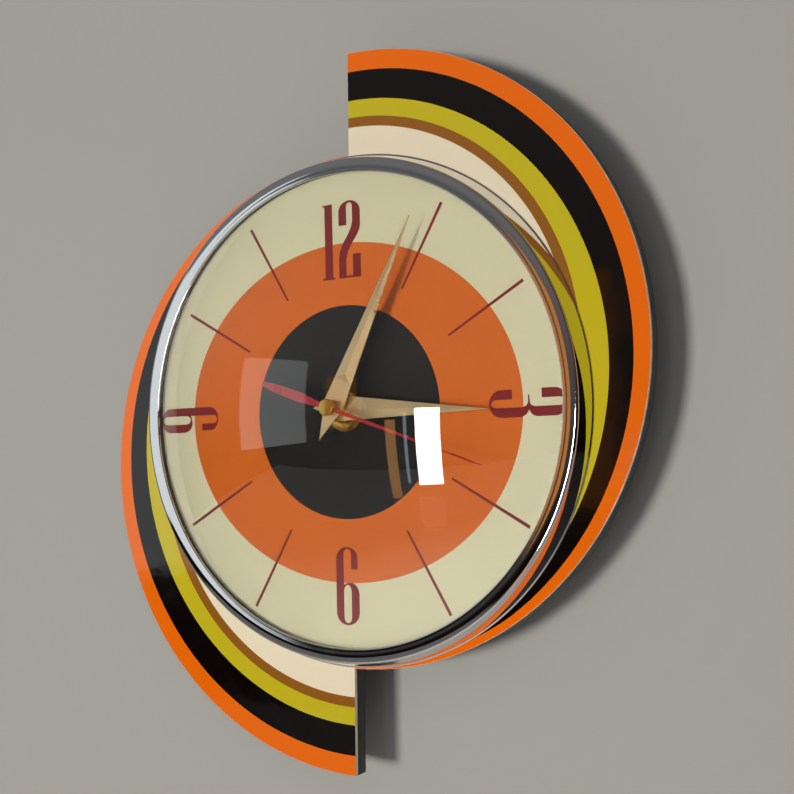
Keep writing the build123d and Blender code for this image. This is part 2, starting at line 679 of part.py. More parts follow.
for place in (third_at, intermediate_at, rotor_at):
    front_case += disc(pivot_boss, BOSS_BACK, CASE_INSIDE, place)
    front_case -= disc(PIVOT_RADIUS + RUN_GAP, BOSS_BACK, PIVOT_FRONT - END_PLAY, place)
front_case += disc(STEM_RADIUS + RUN_GAP + PIVOT_BOSS_WALL, BOSS_BACK, CASE_INSIDE, stem_at)
front_case -= disc(STEM_RADIUS + RUN_GAP, BOSS_BACK, PIVOT_FRONT - END_PLAY, stem_at)
front_case += disc(MOTION_POST_RADIUS, CANNON_BACK + LAYER_GAP / 2, CASE_INSIDE, motion_at)
front_case -= disc(BUSHING_RADIUS + SEAT_GAP, CASE_INSIDE, CASE_FRONT)
save("movement_front_case", front_case)

# ---------------------------------------------------------------- rear cover and its screws
cup_radius = KNOB_RADIUS + 2 * LOOSE_GAP
cup_front = KNOB_FRONT - LOOSE_GAP - KNOB_CUP_FLOOR
rear_cover = block(-HALF_CASE, HALF_CASE, BAY_HIGH, HALF_CASE, 0, case_back)
lip_inset = CASE_WALL + SEAT_GAP
lip_outer = Pos(0, (TRAIN_LOW + HALF_CASE - CASE_WALL) / 2) * Rectangle(
    CASE_SIZE - 2 * lip_inset, HALF_CASE - CASE_WALL - TRAIN_LOW - 2 * SEAT_GAP
)
lip_inner = Pos(0, (TRAIN_LOW + HALF_CASE - CASE_WALL) / 2) * Rectangle(
    CASE_SIZE - 2 * lip_inset - 2 * COVER_THICKNESS,
    HALF_CASE - CASE_WALL - TRAIN_LOW - 2 * SEAT_GAP - 2 * COVER_THICKNESS,
)
cover_lip = sheet(lip_outer - lip_inner, case_back, case_back - COVER_LIP_DEPTH)
for place in screw_places:
    cover_lip -= disc(SCREW_BOSS_RADIUS + LOOSE_GAP, case_back, case_back - COVER_LIP_DEPTH, place)
rear_cover += cover_lip
rear_cover += disc(cup_radius + KNOB_CUP_WALL, 0, cup_front, stem_at)
rear_cover -= disc(cup_radius, 0, KNOB_FRONT - LOOSE_GAP, stem_at)
rear_cover -= disc(STEM_RADIUS + RUN_GAP, 0, cup_front, stem_at)
for place in screw_places:
    rear_cover -= disc(CASE_SCREW_RADIUS + SEAT_GAP, 0, case_back, place)
    rear_cover -= disc(CASE_SCREW_HEAD_RADIUS + SEAT_GAP, 0, -CASE_SCREW_HEAD - SEAT_GAP, place)
save("movement_rear_cover", rear_cover)


def screw(at, head_back, head_radius, head_height, shank_radius, tip, slot_width, slot_depth):
    """Slotted pan-head screw that points at the viewer."""
    body = disc(head_radius, head_back, head_back - head_height, at)
    body += disc(shank_radius, head_back - head_height, tip, at)
    slot = block(
        at[0] - head_radius,
        at[0] + head_radius,
        at[1] - slot_width / 2,
        at[1] + slot_width / 2,
        head_back,
        head_back - slot_depth,
    )
    return body - slot


case_screws = [
    screw(
        place,
        -SEAT_GAP,
        CASE_SCREW_HEAD_RADIUS,
        CASE_SCREW_HEAD,
        CASE_SCREW_RADIUS,
        case_back - CASE_SCREW_LENGTH + LOOSE_GAP,
        CASE_SCREW_SLOT_WIDTH,
        CASE_SCREW_SLOT_DEPTH,
    )
    for place in screw_places
]
save("case_screws", Part() + case_screws)

# ---------------------------------------------------------------- train plate, motor and circuit
plate = block(-PLATE_HALF_WIDTH, PLATE_HALF_WIDTH, PLATE_LOW, PLATE_HIGH, PLATE_BACK, PLATE_FRONT)
for place in (third_at, intermediate_at, rotor_at):
    plate -= disc(PIVOT_RADIUS + RUN_GAP, PLATE_BACK, PLATE_FRONT, place)
plate -= disc(SECONDS_ARBOR_RADIUS + RUN_GAP, PLATE_BACK, PLATE_FRONT)
plate -= disc(STEM_RADIUS + RUN_GAP, PLATE_BACK, PLATE_FRONT, stem_at)
for place in screw_places:
    plate -= disc(SCREW_BOSS_RADIUS + LOOSE_GAP, PLATE_BACK, PLATE_FRONT, place)
save("train_plate", plate)

core_low = coil_z - COIL_CORE_HEIGHT / 2
core_high = coil_z + COIL_CORE_HEIGHT / 2
stator = block(stator_left, stator_right, stator_low, core_high, STATOR_BACK, STATOR_FRONT)
stator -= block(
    stator_left + STATOR_LEG,
    stator_right - STATOR_LEG,
    rotor_at[1] + STATOR_BAR,
    core_high,
    STATOR_BACK,
    STATOR_FRONT,
)
stator -= disc(MAGNET_RADIUS + MAGNET_AIR_GAP, STATOR_BACK, STATOR_FRONT, rotor_at)
save("stator", stator)
core_back = STATOR_BACK + STATOR_THICKNESS
save("coil_core", block(stator_left, stator_right, core_low, core_high, core_back, STATOR_BACK))

coil_left = stator_left + STATOR_LEG + LOOSE_GAP
coil_right = stator_right - STATOR_LEG - LOOSE_GAP
coil_y = (STATOR_BACK + core_back) / 2
bobbin_radius = sqrt((COIL_CORE_HEIGHT / 2) ** 2 + (STATOR_THICKNESS / 2) ** 2) + BOBBIN_WALL


def along_x(radius, left, right):
    """Round solid along X on the coil's middle line."""
    at_left = Plane((left, coil_y, coil_z), x_dir=(0, 1, 0), z_dir=(1, 0, 0))
    return extrude(at_left * Circle(radius), amount=right - left)


bobbin = along_x(bobbin_radius, coil_left, coil_right)
bobbin += along_x(COIL_RADIUS, coil_left, coil_left + COIL_FLANGE)
bobbin += along_x(COIL_RADIUS, coil_right - COIL_FLANGE, coil_right)
bobbin -= block(
    coil_left,
    coil_right,
    core_low - SEAT_GAP,
    core_high + SEAT_GAP,
    core_back + SEAT_GAP,
    STATOR_BACK - SEAT_GAP,
)
save("coil_bobbin", bobbin)
winding = along_x(COIL_RADIUS - LOOSE_GAP, coil_left + COIL_FLANGE, coil_right - COIL_FLANGE)
winding -= along_x(bobbin_radius + PRESS_GAP, coil_left, coil_right)
save("coil_winding", winding)

circuit_right = circuit_left + CIRCUIT_WIDTH
circuit_high = circuit_low + CIRCUIT_HEIGHT
circuit = block(circuit_left, circuit_right, circuit_low, circuit_high, circuit_back, circuit_front)
save("circuit_board", circuit)
chip_at = (circuit_left + CIRCUIT_WIDTH / 2, circuit_low + CHIP_RADIUS + CHIP_INSET)
chip = disc(CHIP_RADIUS, circuit_back + CHIP_HEIGHT, circuit_back, chip_at)
chip_edge = chip.edges().filter_by(GeomType.CIRCLE).sort_by(Axis.Y)[-1]
save("driver_chip", fillet(chip_edge, CHIP_ROUND))
crystal_z = circuit_high - CRYSTAL_RADIUS - CRYSTAL_INSET
crystal_left = chip_at[0] - CRYSTAL_LENGTH / 2
crystal_plane = Plane(
    (crystal_left, circuit_back + CRYSTAL_RADIUS, crystal_z), x_dir=(0, 1, 0), z_dir=(1, 0, 0)
)
save("quartz_crystal", extrude(crystal_plane * Circle(CRYSTAL_RADIUS), amount=CRYSTAL_LENGTH))

# ---------------------------------------------------------------- battery and contacts
bay_inside = HALF_CASE - CASE_WALL
cell_z = (BAY_LOW + BAY_HIGH) / 2
cell_y = CASE_INSIDE + BAY_SIDE_GAP / 2 + CELL_RADIUS
spring_tip = -bay_inside + CONTACT_SHEET + SPRING_REACH
cell_left = spring_tip + LOOSE_GAP
cell_right = cell_left + CELL_LENGTH
cap_right = cell_right + CELL_CAP_LENGTH


def cell_part(radius, left, right):
    """Round solid along X on the battery's middle line."""
    at_left = Plane((left, cell_y, cell_z), x_dir=(0, 1, 0), z_dir=(1, 0, 0))
    return extrude(at_left * Circle(radius), amount=right - left)


cell = cell_part(CELL_RADIUS, cell_left, cell_right)
save("battery_cell", fillet(cell.edges().filter_by(GeomType.CIRCLE), CELL_EDGE_ROUND))
save("battery_terminal", cell_part(CELL_CAP_RADIUS, cell_right, cap_right))

contact_back = cell_y + CONTACT_WIDTH / 2
contact_front = cell_y - CONTACT_WIDTH / 2
contact_low = cell_z - CELL_RADIUS + CONTACT_INSET
contact_high = cell_z + CELL_RADIUS - CONTACT_INSET
positive = block(
    bay_inside - CONTACT_SHEET, bay_inside, contact_low, contact_high, contact_back, contact_front
)
positive += cell_part(NUB_RADIUS, cap_right + LOOSE_GAP / 2, bay_inside - CONTACT_SHEET)
save("positive_contact", positive)

strip_face = -bay_inside + CONTACT_SHEET
spring_outline = Polygon(
    (-bay_inside, contact_low),
    (strip_face, contact_low),
    (strip_face, cell_z - SPRING_FOOT),
    (spring_tip, cell_z - SPRING_CREST),
    (spring_tip, cell_z + SPRING_CREST),
    (strip_face, cell_z + SPRING_FOOT),
    (strip_face, contact_high),
    (-bay_inside, contact_high),
    align=None,
)
spring_hollow = Polygon(
    (strip_face, cell_z - SPRING_FOOT_INSIDE),
    (spring_tip - CONTACT_SHEET, cell_z - SPRING_CREST_INSIDE),
    (spring_tip - CONTACT_SHEET, cell_z + SPRING_CREST_INSIDE),
    (strip_face, cell_z + SPRING_FOOT_INSIDE),
    align=None,
)
save("negative_contact", sheet(spring_outline - spring_hollow, contact_back, contact_front))

# ---------------------------------------------------------------- bushing, nut and washers
bushing_bore = HOUR_PIPE_RADIUS + RUN_GAP
bushing = ring(BUSHING_RADIUS, bushing_bore, CASE_INSIDE, BUSHING_FRONT)
bushing += ring(BUSHING_FLANGE_RADIUS, bushing_bore, CASE_INSIDE + BUSHING_FLANGE, CASE_INSIDE)
save("threaded_bushing", bushing)
save("rubber_washer", ring(RUBBER_WASHER_RADIUS, BUSHING_HOLE_RADIUS, HANGER_FRONT, BOARD_BACK))
# The centre washer's hole is wider than the thread, so the washer hangs low by the slack.
washer_sag = BRASS_WASHER_BORE - BUSHING_RADIUS - 2 * SEAT_GAP
save(
    "brass_washer",
    ring(BRASS_WASHER_RADIUS, BRASS_WASHER_BORE, DIAL_FRONT, BRASS_WASHER_FRONT, (0, -washer_sag)),
)
nut_outline = RegularPolygon(NUT_ACROSS_CORNERS / 2, 6, rotation=90) - Circle(BUSHING_RADIUS + SEAT_GAP)
save("brass_nut", sheet(nut_outline, BRASS_WASHER_FRONT, NUT_FRONT))

# ---------------------------------------------------------------- hanger bracket and its screws
shelf_low = HALF_CASE + HANGER_OVER_CASE
shelf_high = shelf_low + HANGER_SHEET
tab_high = HANGER_RISE + HANGER_TAB_MARGIN
half_hanger = HANGER_WIDTH / 2
bracket = block(-half_hanger, half_hanger, -HANGER_DROP, shelf_high, CASE_FRONT, HANGER_FRONT)
bracket += block(-WING_REACH, WING_REACH, -WING_HEIGHT / 2, WING_HEIGHT / 2, CASE_FRONT, HANGER_FRONT)
bracket += block(-half_hanger, half_hanger, shelf_low, shelf_high, 0, HANGER_FRONT)
bracket += block(-half_hanger, half_hanger, shelf_low, tab_high, 0, -HANGER_SHEET)
bracket -= disc(BUSHING_HOLE_RADIUS, CASE_FRONT, HANGER_FRONT)
bracket -= disc(HANGER_HOLE_RADIUS, 0, -HANGER_SHEET, (0, HANGER_RISE))
for hole in wing_holes:
    bracket -= disc(WOOD_SCREW_RADIUS + SEAT_GAP, CASE_FRONT, HANGER_FRONT, hole)
save("hanger_bracket", bracket)

hanger_screws = [
    screw(
        hole,
        CASE_FRONT + WOOD_SCREW_HEAD + SEAT_GAP,
        WOOD_SCREW_HEAD_RADIUS,
        WOOD_SCREW_HEAD,
        WOOD_SCREW_RADIUS,
        wood_screw_tip,
        WOOD_SCREW_SLOT_WIDTH,
        WOOD_SCREW_SLOT_DEPTH,
    )
    for hole in wing_holes
]
save("hanger_screws", Part() + hanger_screws)

# ---------------------------------------------------------------- hands
second_turn = 6.0 * REST_SECOND
minute_turn = 6.0 * (REST_MINUTE + REST_SECOND / 60)
hour_turn = 30.0 * REST_HOUR + minute_turn / 12


def tetrahedron(a, b, c, d):
    """Solid with four triangular faces."""
    triangles = [(a, b, c), (a, b, d), (b, c, d), (a, c, d)]
    return Solid(Shell([Face(Wire.make_polygon(t, close=True)) for t in triangles]))


def kite_hand(length, tail, half_width, pipe_radius, back, droop):
    """Pointed hand at 12 o'clock, with a pressed ridge, on a collet for its pipe."""
    outline = Polygon(
        (0, -tail), (half_width, HAND_SHOULDER), (0, length), (-half_width, HAND_SHOULDER), align=None
    )
    front = back - HAND_SHEET
    blade = sheet(outline, back, front)
    ridge_half = half_width * (length - RIDGE_START) / (length - HAND_SHOULDER)
    blade += tetrahedron(
        (-ridge_half, front, RIDGE_START),
        (ridge_half, front, RIDGE_START),
        (0, front, length),
        (0, front - HAND_RIDGE, RIDGE_CREST),
    )
    collet_radius = pipe_radius + COLLET_WALL
    hub = Pos(0, back, 0)
    blade = hub * Rot(-droop, 0, 0) * hub.inverse() * blade
    blade -= disc(collet_radius - COLLET_OVERLAP, back + 2 * COLLET_HEIGHT, back - 2 * COLLET_HEIGHT)
    collet_back = back + COLLET_BEHIND
    collet = ring(collet_radius, pipe_radius + PRESS_GAP, collet_back, collet_back - COLLET_HEIGHT)
    return blade + collet


hour_hand = kite_hand(
    HOUR_HAND_LENGTH, HOUR_HAND_TAIL, HOUR_HAND_HALF_WIDTH, HOUR_PIPE_RADIUS, HOUR_HAND_BACK, 0.0
)
save("hour_hand", Rot(0, hour_turn, 0) * hour_hand)
minute_hand = kite_hand(
    MINUTE_HAND_LENGTH,
    MINUTE_HAND_TAIL,
    MINUTE_HAND_HALF_WIDTH,
    MINUTE_PIPE_RADIUS,
    MINUTE_HAND_BACK,
    MINUTE_HAND_DROOP,
)
save("minute_hand", Rot(0, minute_turn, 0) * minute_hand)

right_side = [
    (SECOND_END_HALF_WIDTH, -SECOND_HAND_TAIL),
    (SECOND_TAPER_HALF_WIDTH, -SECOND_TAIL_TAPER),
    (SECOND_WIDEST_HALF_WIDTH, -SECOND_TAIL_WIDEST),
    (SECOND_NECK_HALF_WIDTH, -SOCKET_RADIUS),
    (SECOND_ROOT_HALF_WIDTH, SOCKET_RADIUS),
    (SECOND_TIP_HALF_WIDTH, SECOND_HAND_LENGTH),
]
left_side = [(-x, z) for x, z in reversed(right_side)]
second_outline = Polygon(*right_side, *left_side, align=None)
second_hand = sheet(second_outline + Circle(SOCKET_RADIUS), SECOND_HAND_BACK, SECOND_HAND_FRONT)
save("second_hand", Rot(0, second_turn, 0) * second_hand)
socket_bore = SECONDS_ARBOR_RADIUS + PRESS_GAP
save("second_hand_socket", ring(SOCKET_RADIUS, socket_bore, MINUTE_PIPE_FRONT - LOOSE_GAP, SECOND_HAND_BACK))
cap = disc(CAP_RADIUS, SECOND_HAND_FRONT, SECOND_HAND_FRONT - CAP_HEIGHT)
cap_edge = cap.edges().filter_by(GeomType.CIRCLE).sort_by(Axis.Y)[0]
save("second_hand_cap", chamfer(cap_edge, CAP_BEVEL))
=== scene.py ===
"""Looks of a quartz wall clock on a split backing board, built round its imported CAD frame.

The clock hangs on the wall plane y = 0 and faces -Y, with X to the right and Z up. Sizes in
the classes are millimetres, and MM turns them to metres where a mesh is made. Every place comes
from the box of a CAD node. Finished pieces keep their objects at the origin.
"""

import logging
from collections.abc import Callable
from dataclasses import dataclass, field
from enum import Enum
from math import cos, pi, radians, sin, sqrt

import bmesh
import bpy
from mathutils import Matrix, Vector

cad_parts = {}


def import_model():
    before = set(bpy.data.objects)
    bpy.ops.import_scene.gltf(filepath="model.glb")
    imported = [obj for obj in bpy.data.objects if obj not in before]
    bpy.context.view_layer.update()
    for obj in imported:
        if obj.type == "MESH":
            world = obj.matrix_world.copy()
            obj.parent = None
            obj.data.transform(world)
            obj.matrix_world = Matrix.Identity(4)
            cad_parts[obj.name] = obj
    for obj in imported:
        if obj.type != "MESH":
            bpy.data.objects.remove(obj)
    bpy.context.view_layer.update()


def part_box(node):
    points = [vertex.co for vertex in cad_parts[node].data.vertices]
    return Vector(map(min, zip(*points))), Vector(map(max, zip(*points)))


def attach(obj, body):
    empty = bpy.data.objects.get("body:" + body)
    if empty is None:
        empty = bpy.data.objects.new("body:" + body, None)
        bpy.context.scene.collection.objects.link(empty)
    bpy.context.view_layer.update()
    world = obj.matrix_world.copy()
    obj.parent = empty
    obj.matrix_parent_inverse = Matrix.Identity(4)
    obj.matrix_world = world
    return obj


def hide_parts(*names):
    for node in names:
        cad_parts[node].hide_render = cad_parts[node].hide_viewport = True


Tree = bpy.types.NodeTree
Socket = bpy.types.NodeSocket
Point = tuple[float, float]

MM = 0.001
FRAME_BODY = "clock_frame"
WELD = 0.0005 * MM  # corners nearer than this are one
CAD_WELD = 0.002 * MM  # the same, for a mesh taken from a CAD node
NO_LENGTH = 0.0001 * MM  # edges shorter than this go
FLAT_ANGLE = 0.5  # degrees; faces that differ by less are one face
SHARP_ANGLE = 30.0  # degrees; edges of a CAD node that turn by more are rounded
BRUSH_STRETCH = 0.02  # brushed lines are fifty times as long as they are wide
HANDLING_SCALE = 0.09  # patches of handling, to the millimetre
HANDLING_SPAN = (0.35, 0.65)  # the part of the noise that moves the roughness
COAT_ROUGHNESS = 0.04
WORN_SPAN = (0.52, 0.6)  # how pointed an edge is where wear starts and where it is full
WORN_LIGHTER = 1.8
log = logging.getLogger("wall_clock")


# ---------------------------------------------------------------- colour and node helpers
def linear(hex_colour: str) -> tuple[float, float, float, float]:
    """Turn an sRGB hex colour to linear light.

    Args:
        hex_colour: Six hex digits after a hash.

    Returns:
        Red, green, blue and an alpha of one.
    """
    channels = (int(hex_colour[i : i + 2], 16) / 255 for i in (1, 3, 5))
    return (*(c / 12.92 if c <= 0.04045 else ((c + 0.055) / 1.055) ** 2.4 for c in channels), 1.0)


def shaded(hex_colour: str, factor: float) -> tuple[float, float, float, float]:
    """The linear colour, lightened or darkened by a factor."""
    red, green, blue, alpha = linear(hex_colour)
    return (min(red * factor, 1.0), min(green * factor, 1.0), min(blue * factor, 1.0), alpha)


def add_node(
    tree: bpy.types.NodeTree, kind: str, settings: dict | None = None, inputs: dict | None = None
) -> bpy.types.Node:
    """Add a node with its settings and links.

    Args:
        tree: Shader or geometry node tree.
        kind: Blender's name for the node.
        settings: Properties to set on the node.
        inputs: Input socket, by name or number, to a value or to an output socket.

    Returns:
        The new node.
    """
    node = tree.nodes.new(kind)
    for name, value in (settings or {}).items():
        setattr(node, name, value)
    for key, value in (inputs or {}).items():
        if isinstance(value, bpy.types.NodeSocket):
            tree.links.new(value, node.inputs[key])
        else:
            node.inputs[key].default_value = value
    return node


def calculate(tree: Tree, operation: str, first: Socket | float, second: Socket | float) -> Socket:
    """The result of one sum."""
    return add_node(tree, "ShaderNodeMath", {"operation": operation}, {0: first, 1: second}).outputs[0]


def combine(tree: Tree, x: Socket | float, y: Socket | float, z: Socket | float) -> Socket:
    """A vector from its parts."""
    return add_node(tree, "ShaderNodeCombineXYZ", inputs={0: x, 1: y, 2: z}).outputs[0]


def map_range(tree: Tree, value: Socket, given: tuple, wanted: tuple) -> Socket:
    """A value moved from one span to another, and kept inside it."""
    inputs = dict(enumerate((value, *given, *wanted)))
    return add_node(tree, "ShaderNodeMapRange", inputs=inputs).outputs[0]


def noise(tree: Tree, place: Socket, scale: float, detail: float, **more: float) -> Socket:
    """Noise at a place; more sets other inputs by name."""
    inputs = {"Vector": place, "Scale": scale, "Detail": detail, **more}
    return add_node(tree, "ShaderNodeTexNoise", inputs=inputs).outputs[0]


def mix_colours(tree: Tree, share: Socket, first: Socket | tuple, second: Socket | tuple) -> Socket:
    """The first colour at a share of 0, the second at 1."""
    inputs = {0: share, 6: first, 7: second}
    return add_node(tree, "ShaderNodeMix", {"data_type": "RGBA"}, inputs).outputs[2]


def mix_shaders(tree: Tree, share: Socket, first: Socket, second: Socket) -> Socket:
    """The first shader at a share of 0, the second at 1."""
    return add_node(tree, "ShaderNodeMixShader", inputs={0: share, 1: first, 2: second}).outputs[0]


def new_material(name: str, shader: Callable[[Tree], Socket]) -> bpy.types.Material:
    """A material whose surface comes from a function that adds its nodes."""
    made = bpy.data.materials.new(name)
    made.use_nodes = True
    made.node_tree.nodes.clear()
    add_node(made.node_tree, "ShaderNodeOutputMaterial", inputs={"Surface": shader(made.node_tree)})
    return made


# ---------------------------------------------------------------- finishes
class Grain(Enum):
    """How a surface was made, which is what its relief looks like."""

    SPRAYED = "sprayed"  # orange peel of paint, ink or polish
    BRUSHED = "brushed"  # fine lines along one way
    TURNED = "turned"  # rings left by a lathe tool
    SPARKED = "sparked"  # pits that a spark-eroded mould gives plastic
    FIBROUS = "fibrous"  # pressed wood or paper fibre


@dataclass(frozen=True)
class Finish:
    """A surface: what it is made of and how it was worked.

    Colours are sRGB, sizes are millimetres and shares run from 0 to 1.
    """

    name: str
    colour: str
    roughness: float
    metallic: float = 0.0
    ior: float = 1.5
    coat: float = 0.0
    grain: Grain = Grain.SPRAYED
    grain_size: float = 1.5
    relief: float = 0.01
    tone_spread: float = 0.05  # how far the colour drifts from place to place
    tone_size: float = 30.0
    gloss_spread: float = 0.05  # how far the roughness drifts, as from handling
    line_way: float = 0.0  # degrees clockwise from up, for brushed lines
    centre: Point = (0.0, 0.0)  # middle of turned rings, in X and Z
    worn: float = 0.0  # lighter, polished edges

    def material(self) -> bpy.types.Material:
        """The finish as a material, made once and shared."""
        return bpy.data.materials.get(self.name) or new_material(self.name, self.shader)

    def place(self, tree: Tree) -> Socket:
        """Object coordinates in millimetres, turned so that brushed lines run along Z."""
        coordinates = add_node(tree, "ShaderNodeTexCoord").outputs["Object"]
        middle = (-self.centre[0], 0.0, -self.centre[1])
        sized = {"Vector": coordinates, "Scale": (1 / MM,) * 3, "Location": middle}
        scaled = add_node(tree, "ShaderNodeMapping", inputs=sized).outputs[0]
        turn = (0.0, -radians(self.line_way), 0.0)
        return add_node(tree, "ShaderNodeMapping", inputs={0: scaled, "Rotation": turn}).outputs[0]

    def height(self, tree: Tree, place: Socket) -> Socket:
        """Relief of the surface from 0 to 1, at a place in millimetres."""
        scale = 1 / self.grain_size
        if self.grain is Grain.BRUSHED:
            stretched = {0: place, "Scale": (1.0, 1.0, BRUSH_STRETCH)}
            lines = add_node(tree, "ShaderNodeMapping", inputs=stretched).outputs[0]
            return noise(tree, lines, scale, 4.0, Roughness=0.7)
        if self.grain is Grain.TURNED:
            flat = add_node(tree, "ShaderNodeVectorMath", {"operation": "MULTIPLY"}, {0: place, 1: (1, 0, 1)})
            radius = add_node(tree, "ShaderNodeVectorMath", {"operation": "LENGTH"}, {0: flat.outputs[0]})
            rings = {"W": radius.outputs["Value"], "Scale": scale, "Detail": 3.0}
            return add_node(tree, "ShaderNodeTexNoise", {"noise_dimensions": "1D"}, rings).outputs[0]
        if self.grain is Grain.SPARKED:
            pits = add_node(tree, "ShaderNodeTexVoronoi", inputs={"Vector": place, "Scale": scale})
            return calculate(tree, "MULTIPLY", pits.outputs["Distance"], noise(tree, place, scale, 2.0))
        if self.grain is Grain.FIBROUS:
            return noise(tree, place, scale, 8.0, Roughness=0.75, Distortion=1.2)
        return noise(tree, place, scale, 2.0, Roughness=0.4)

    def tone(self, tree: Tree, place: Socket) -> Socket:
        """Base colour, which drifts a little from place to place."""
        drift = noise(tree, place, 1 / self.tone_size, 4.0)
        dark = shaded(self.colour, 1 - self.tone_spread)
        light = shaded(self.colour, 1 + self.tone_spread)
        mixed = mix_colours(tree, drift, dark, light)
        if not self.worn:
            return mixed
        edge = add_node(tree, "ShaderNodeNewGeometry").outputs["Pointiness"]
        rub = map_range(tree, edge, WORN_SPAN, (0.0, self.worn))
        return mix_colours(tree, rub, mixed, shaded(self.colour, WORN_LIGHTER))

    def normal(self, tree: Tree, place: Socket) -> Socket:
        """The way the surface faces, with its relief."""
        inputs = {"Height": self.height(tree, place), "Strength": 1.0, "Distance": self.relief * MM}
        return add_node(tree, "ShaderNodeBump", inputs=inputs).outputs[0]

    def shader(self, tree: Tree) -> Socket:
        """The finish's surface shader."""
        place = self.place(tree)
        handling = noise(tree, place, HANDLING_SCALE, 5.0)
        low = max(self.roughness - self.gloss_spread, 0.0)
        high = self.roughness + self.gloss_spread
        inputs = {
            "Base Color": self.tone(tree, place),
            "Roughness": map_range(tree, handling, HANDLING_SPAN, (low, high)),
            "Normal": self.normal(tree, place),
            "Metallic": self.metallic,
            "IOR": self.ior,
            "Coat Weight": self.coat,
            "Coat Roughness": COAT_ROUGHNESS,
        }
        return add_node(tree, "ShaderNodeBsdfPrincipled", inputs=inputs).outputs[0]


@dataclass(frozen=True)
class ClearGlass(Finish):
    """Clock glass: colourless soda-lime glass, so lamps shine straight through it."""

    tint: str = "#F4F6F2"  # what the glass leaves of a lamp's light

    def shader(self, tree: Tree) -> Socket:
        """Glass for the eye, and an open way for rays that look for a lamp."""
        inputs = {
            "Base Color": linear(self.colour),
            "Roughness": self.roughness,
            "IOR": self.ior,
            "Transmission Weight": 1.0,
            "Normal": self.normal(tree, self.place(tree)),
        }
        glass = add_node(tree, "ShaderNodeBsdfPrincipled", inputs=inputs).outputs[0]
        clear = add_node(tree, "ShaderNodeBsdfTransparent", inputs={"Color": linear(self.tint)}).outputs[0]
        to_lamp = add_node(tree, "ShaderNodeLightPath").outputs["Is Shadow Ray"]
        return mix_shaders(tree, to_lamp, glass, clear)


@dataclass(frozen=True)
class CellSleeve(Finish):
    """Printed film round the battery: dark, with a copper-coloured band at the positive end."""

    band_from: float = 0.0  # X where the band starts
    band_colour: str = "#B8743A"
    print_edge: float = 0.05  # half the width of the change between the two colours

    def tone(self, tree: Tree, place: Socket) -> Socket:
        """Dark sleeve that changes to the band colour across a crisp print edge."""
        across = add_node(tree, "ShaderNodeSeparateXYZ", inputs={0: place}).outputs["X"]
        edge = (self.band_from - self.print_edge, self.band_from + self.print_edge)
        banded = map_range(tree, across, edge, (0.0, 1.0))
        return mix_colours(tree, banded, linear(self.colour), linear(self.band_colour))


# Melamine laminate under a clear gloss overlay: deep colour, a hard shine and a faint waviness.
LAMINATE = {"roughness": 0.07, "ior": 1.57, "grain_size": 9.0, "relief": 0.02, "gloss_spread": 0.03}
LAMINATE_CREAM = Finish("cream_melamine_laminate", "#E9DCC0", tone_spread=0.02, **LAMINATE)
LAMINATE_ORANGE = Finish("orange_melamine_laminate", "#E8690A", tone_spread=0.03, **LAMINATE)
LAMINATE_BLACK = Finish("black_melamine_laminate", "#0B0605", tone_spread=0.1, **LAMINATE)
LAMINATE_GREEN = Finish("green_melamine_laminate", "#C2B221", tone_spread=0.03, **LAMINATE)
LAMINATE_BROWN = Finish("brown_melamine_laminate", "#8F5A1E", tone_spread=0.04, **LAMINATE)
# Fibreboard sealed and sprayed black: satin, with the fibre still telegraphing at the cut edge.
BLACK_BOARD = Finish(
    "black_sprayed_fibreboard", "#12100E", 0.42, grain=Grain.FIBROUS, grain_size=1.1, relief=0.05, worn=0.35
)
RAW_FIBREBOARD = Finish(
    "raw_fibreboard", "#8E6E4A", 0.85, grain=Grain.FIBROUS, grain_size=1.4, relief=0.08, tone_spread=0.18
)
# Stove enamel on a metal dial: an even satin that takes soft reflections.
DIAL_ENAMEL = Finish("cream_stove_enamel", "#C6C2A2", 0.38, grain_size=0.7, relief=0.004, tone_spread=0.02)
# Screen-printed ink: slightly flatter than the enamel under it, with a fine mesh texture.
INK = {
    "roughness": 0.5, "ior": 1.35, "grain_size": 0.35, "relief": 0.006, "tone_spread": 0.04,
    "tone_size": 12.0,
}
INK_ORANGE = Finish("orange_screen_ink", "#BE5A0C", **INK)
INK_BLACK = Finish("black_screen_ink", "#0C0C0B", **INK)
INK_RED = Finish("dark_red_screen_ink", "#6E060B", **INK)
# Chromium over polished brass: a mirror that only fine hairlines break up.
CHROME = Finish(
    "polished_chrome_plate", "#E4E5E8", 0.045, 1.0, grain=Grain.TURNED, grain_size=1.2, relief=0.003,
    tone_spread=0.03, gloss_spread=0.02,
)
GLASS = ClearGlass("soda_lime_clock_glass", "#FFFFFF", 0.0, ior=1.52, grain_size=40.0, relief=0.02)
# Closed-cell foam seal and moulded rubber: matt, almost black.
FOAM_SEAL = Finish("black_foam_seal", "#161615", 0.85, grain=Grain.SPARKED, grain_size=0.3, relief=0.04)
RUBBER = Finish("black_moulded_rubber", "#171717", 0.7, grain_size=0.8, relief=0.01)
# Lacquered brass: a pale gold metal whose polishing lines run along the hands.
BRASS = {"metallic": 1.0, "grain": Grain.BRUSHED, "grain_size": 0.22, "relief": 0.001, "tone_spread": 0.02}
TURNED_BRASS = {"metallic": 1.0, "grain": Grain.TURNED, "grain_size": 0.3, "relief": 0.006}
RED_LACQUER = Finish("red_stoved_lacquer", "#8E0A14", 0.3, coat=0.2, grain_size=0.8, relief=0.003)
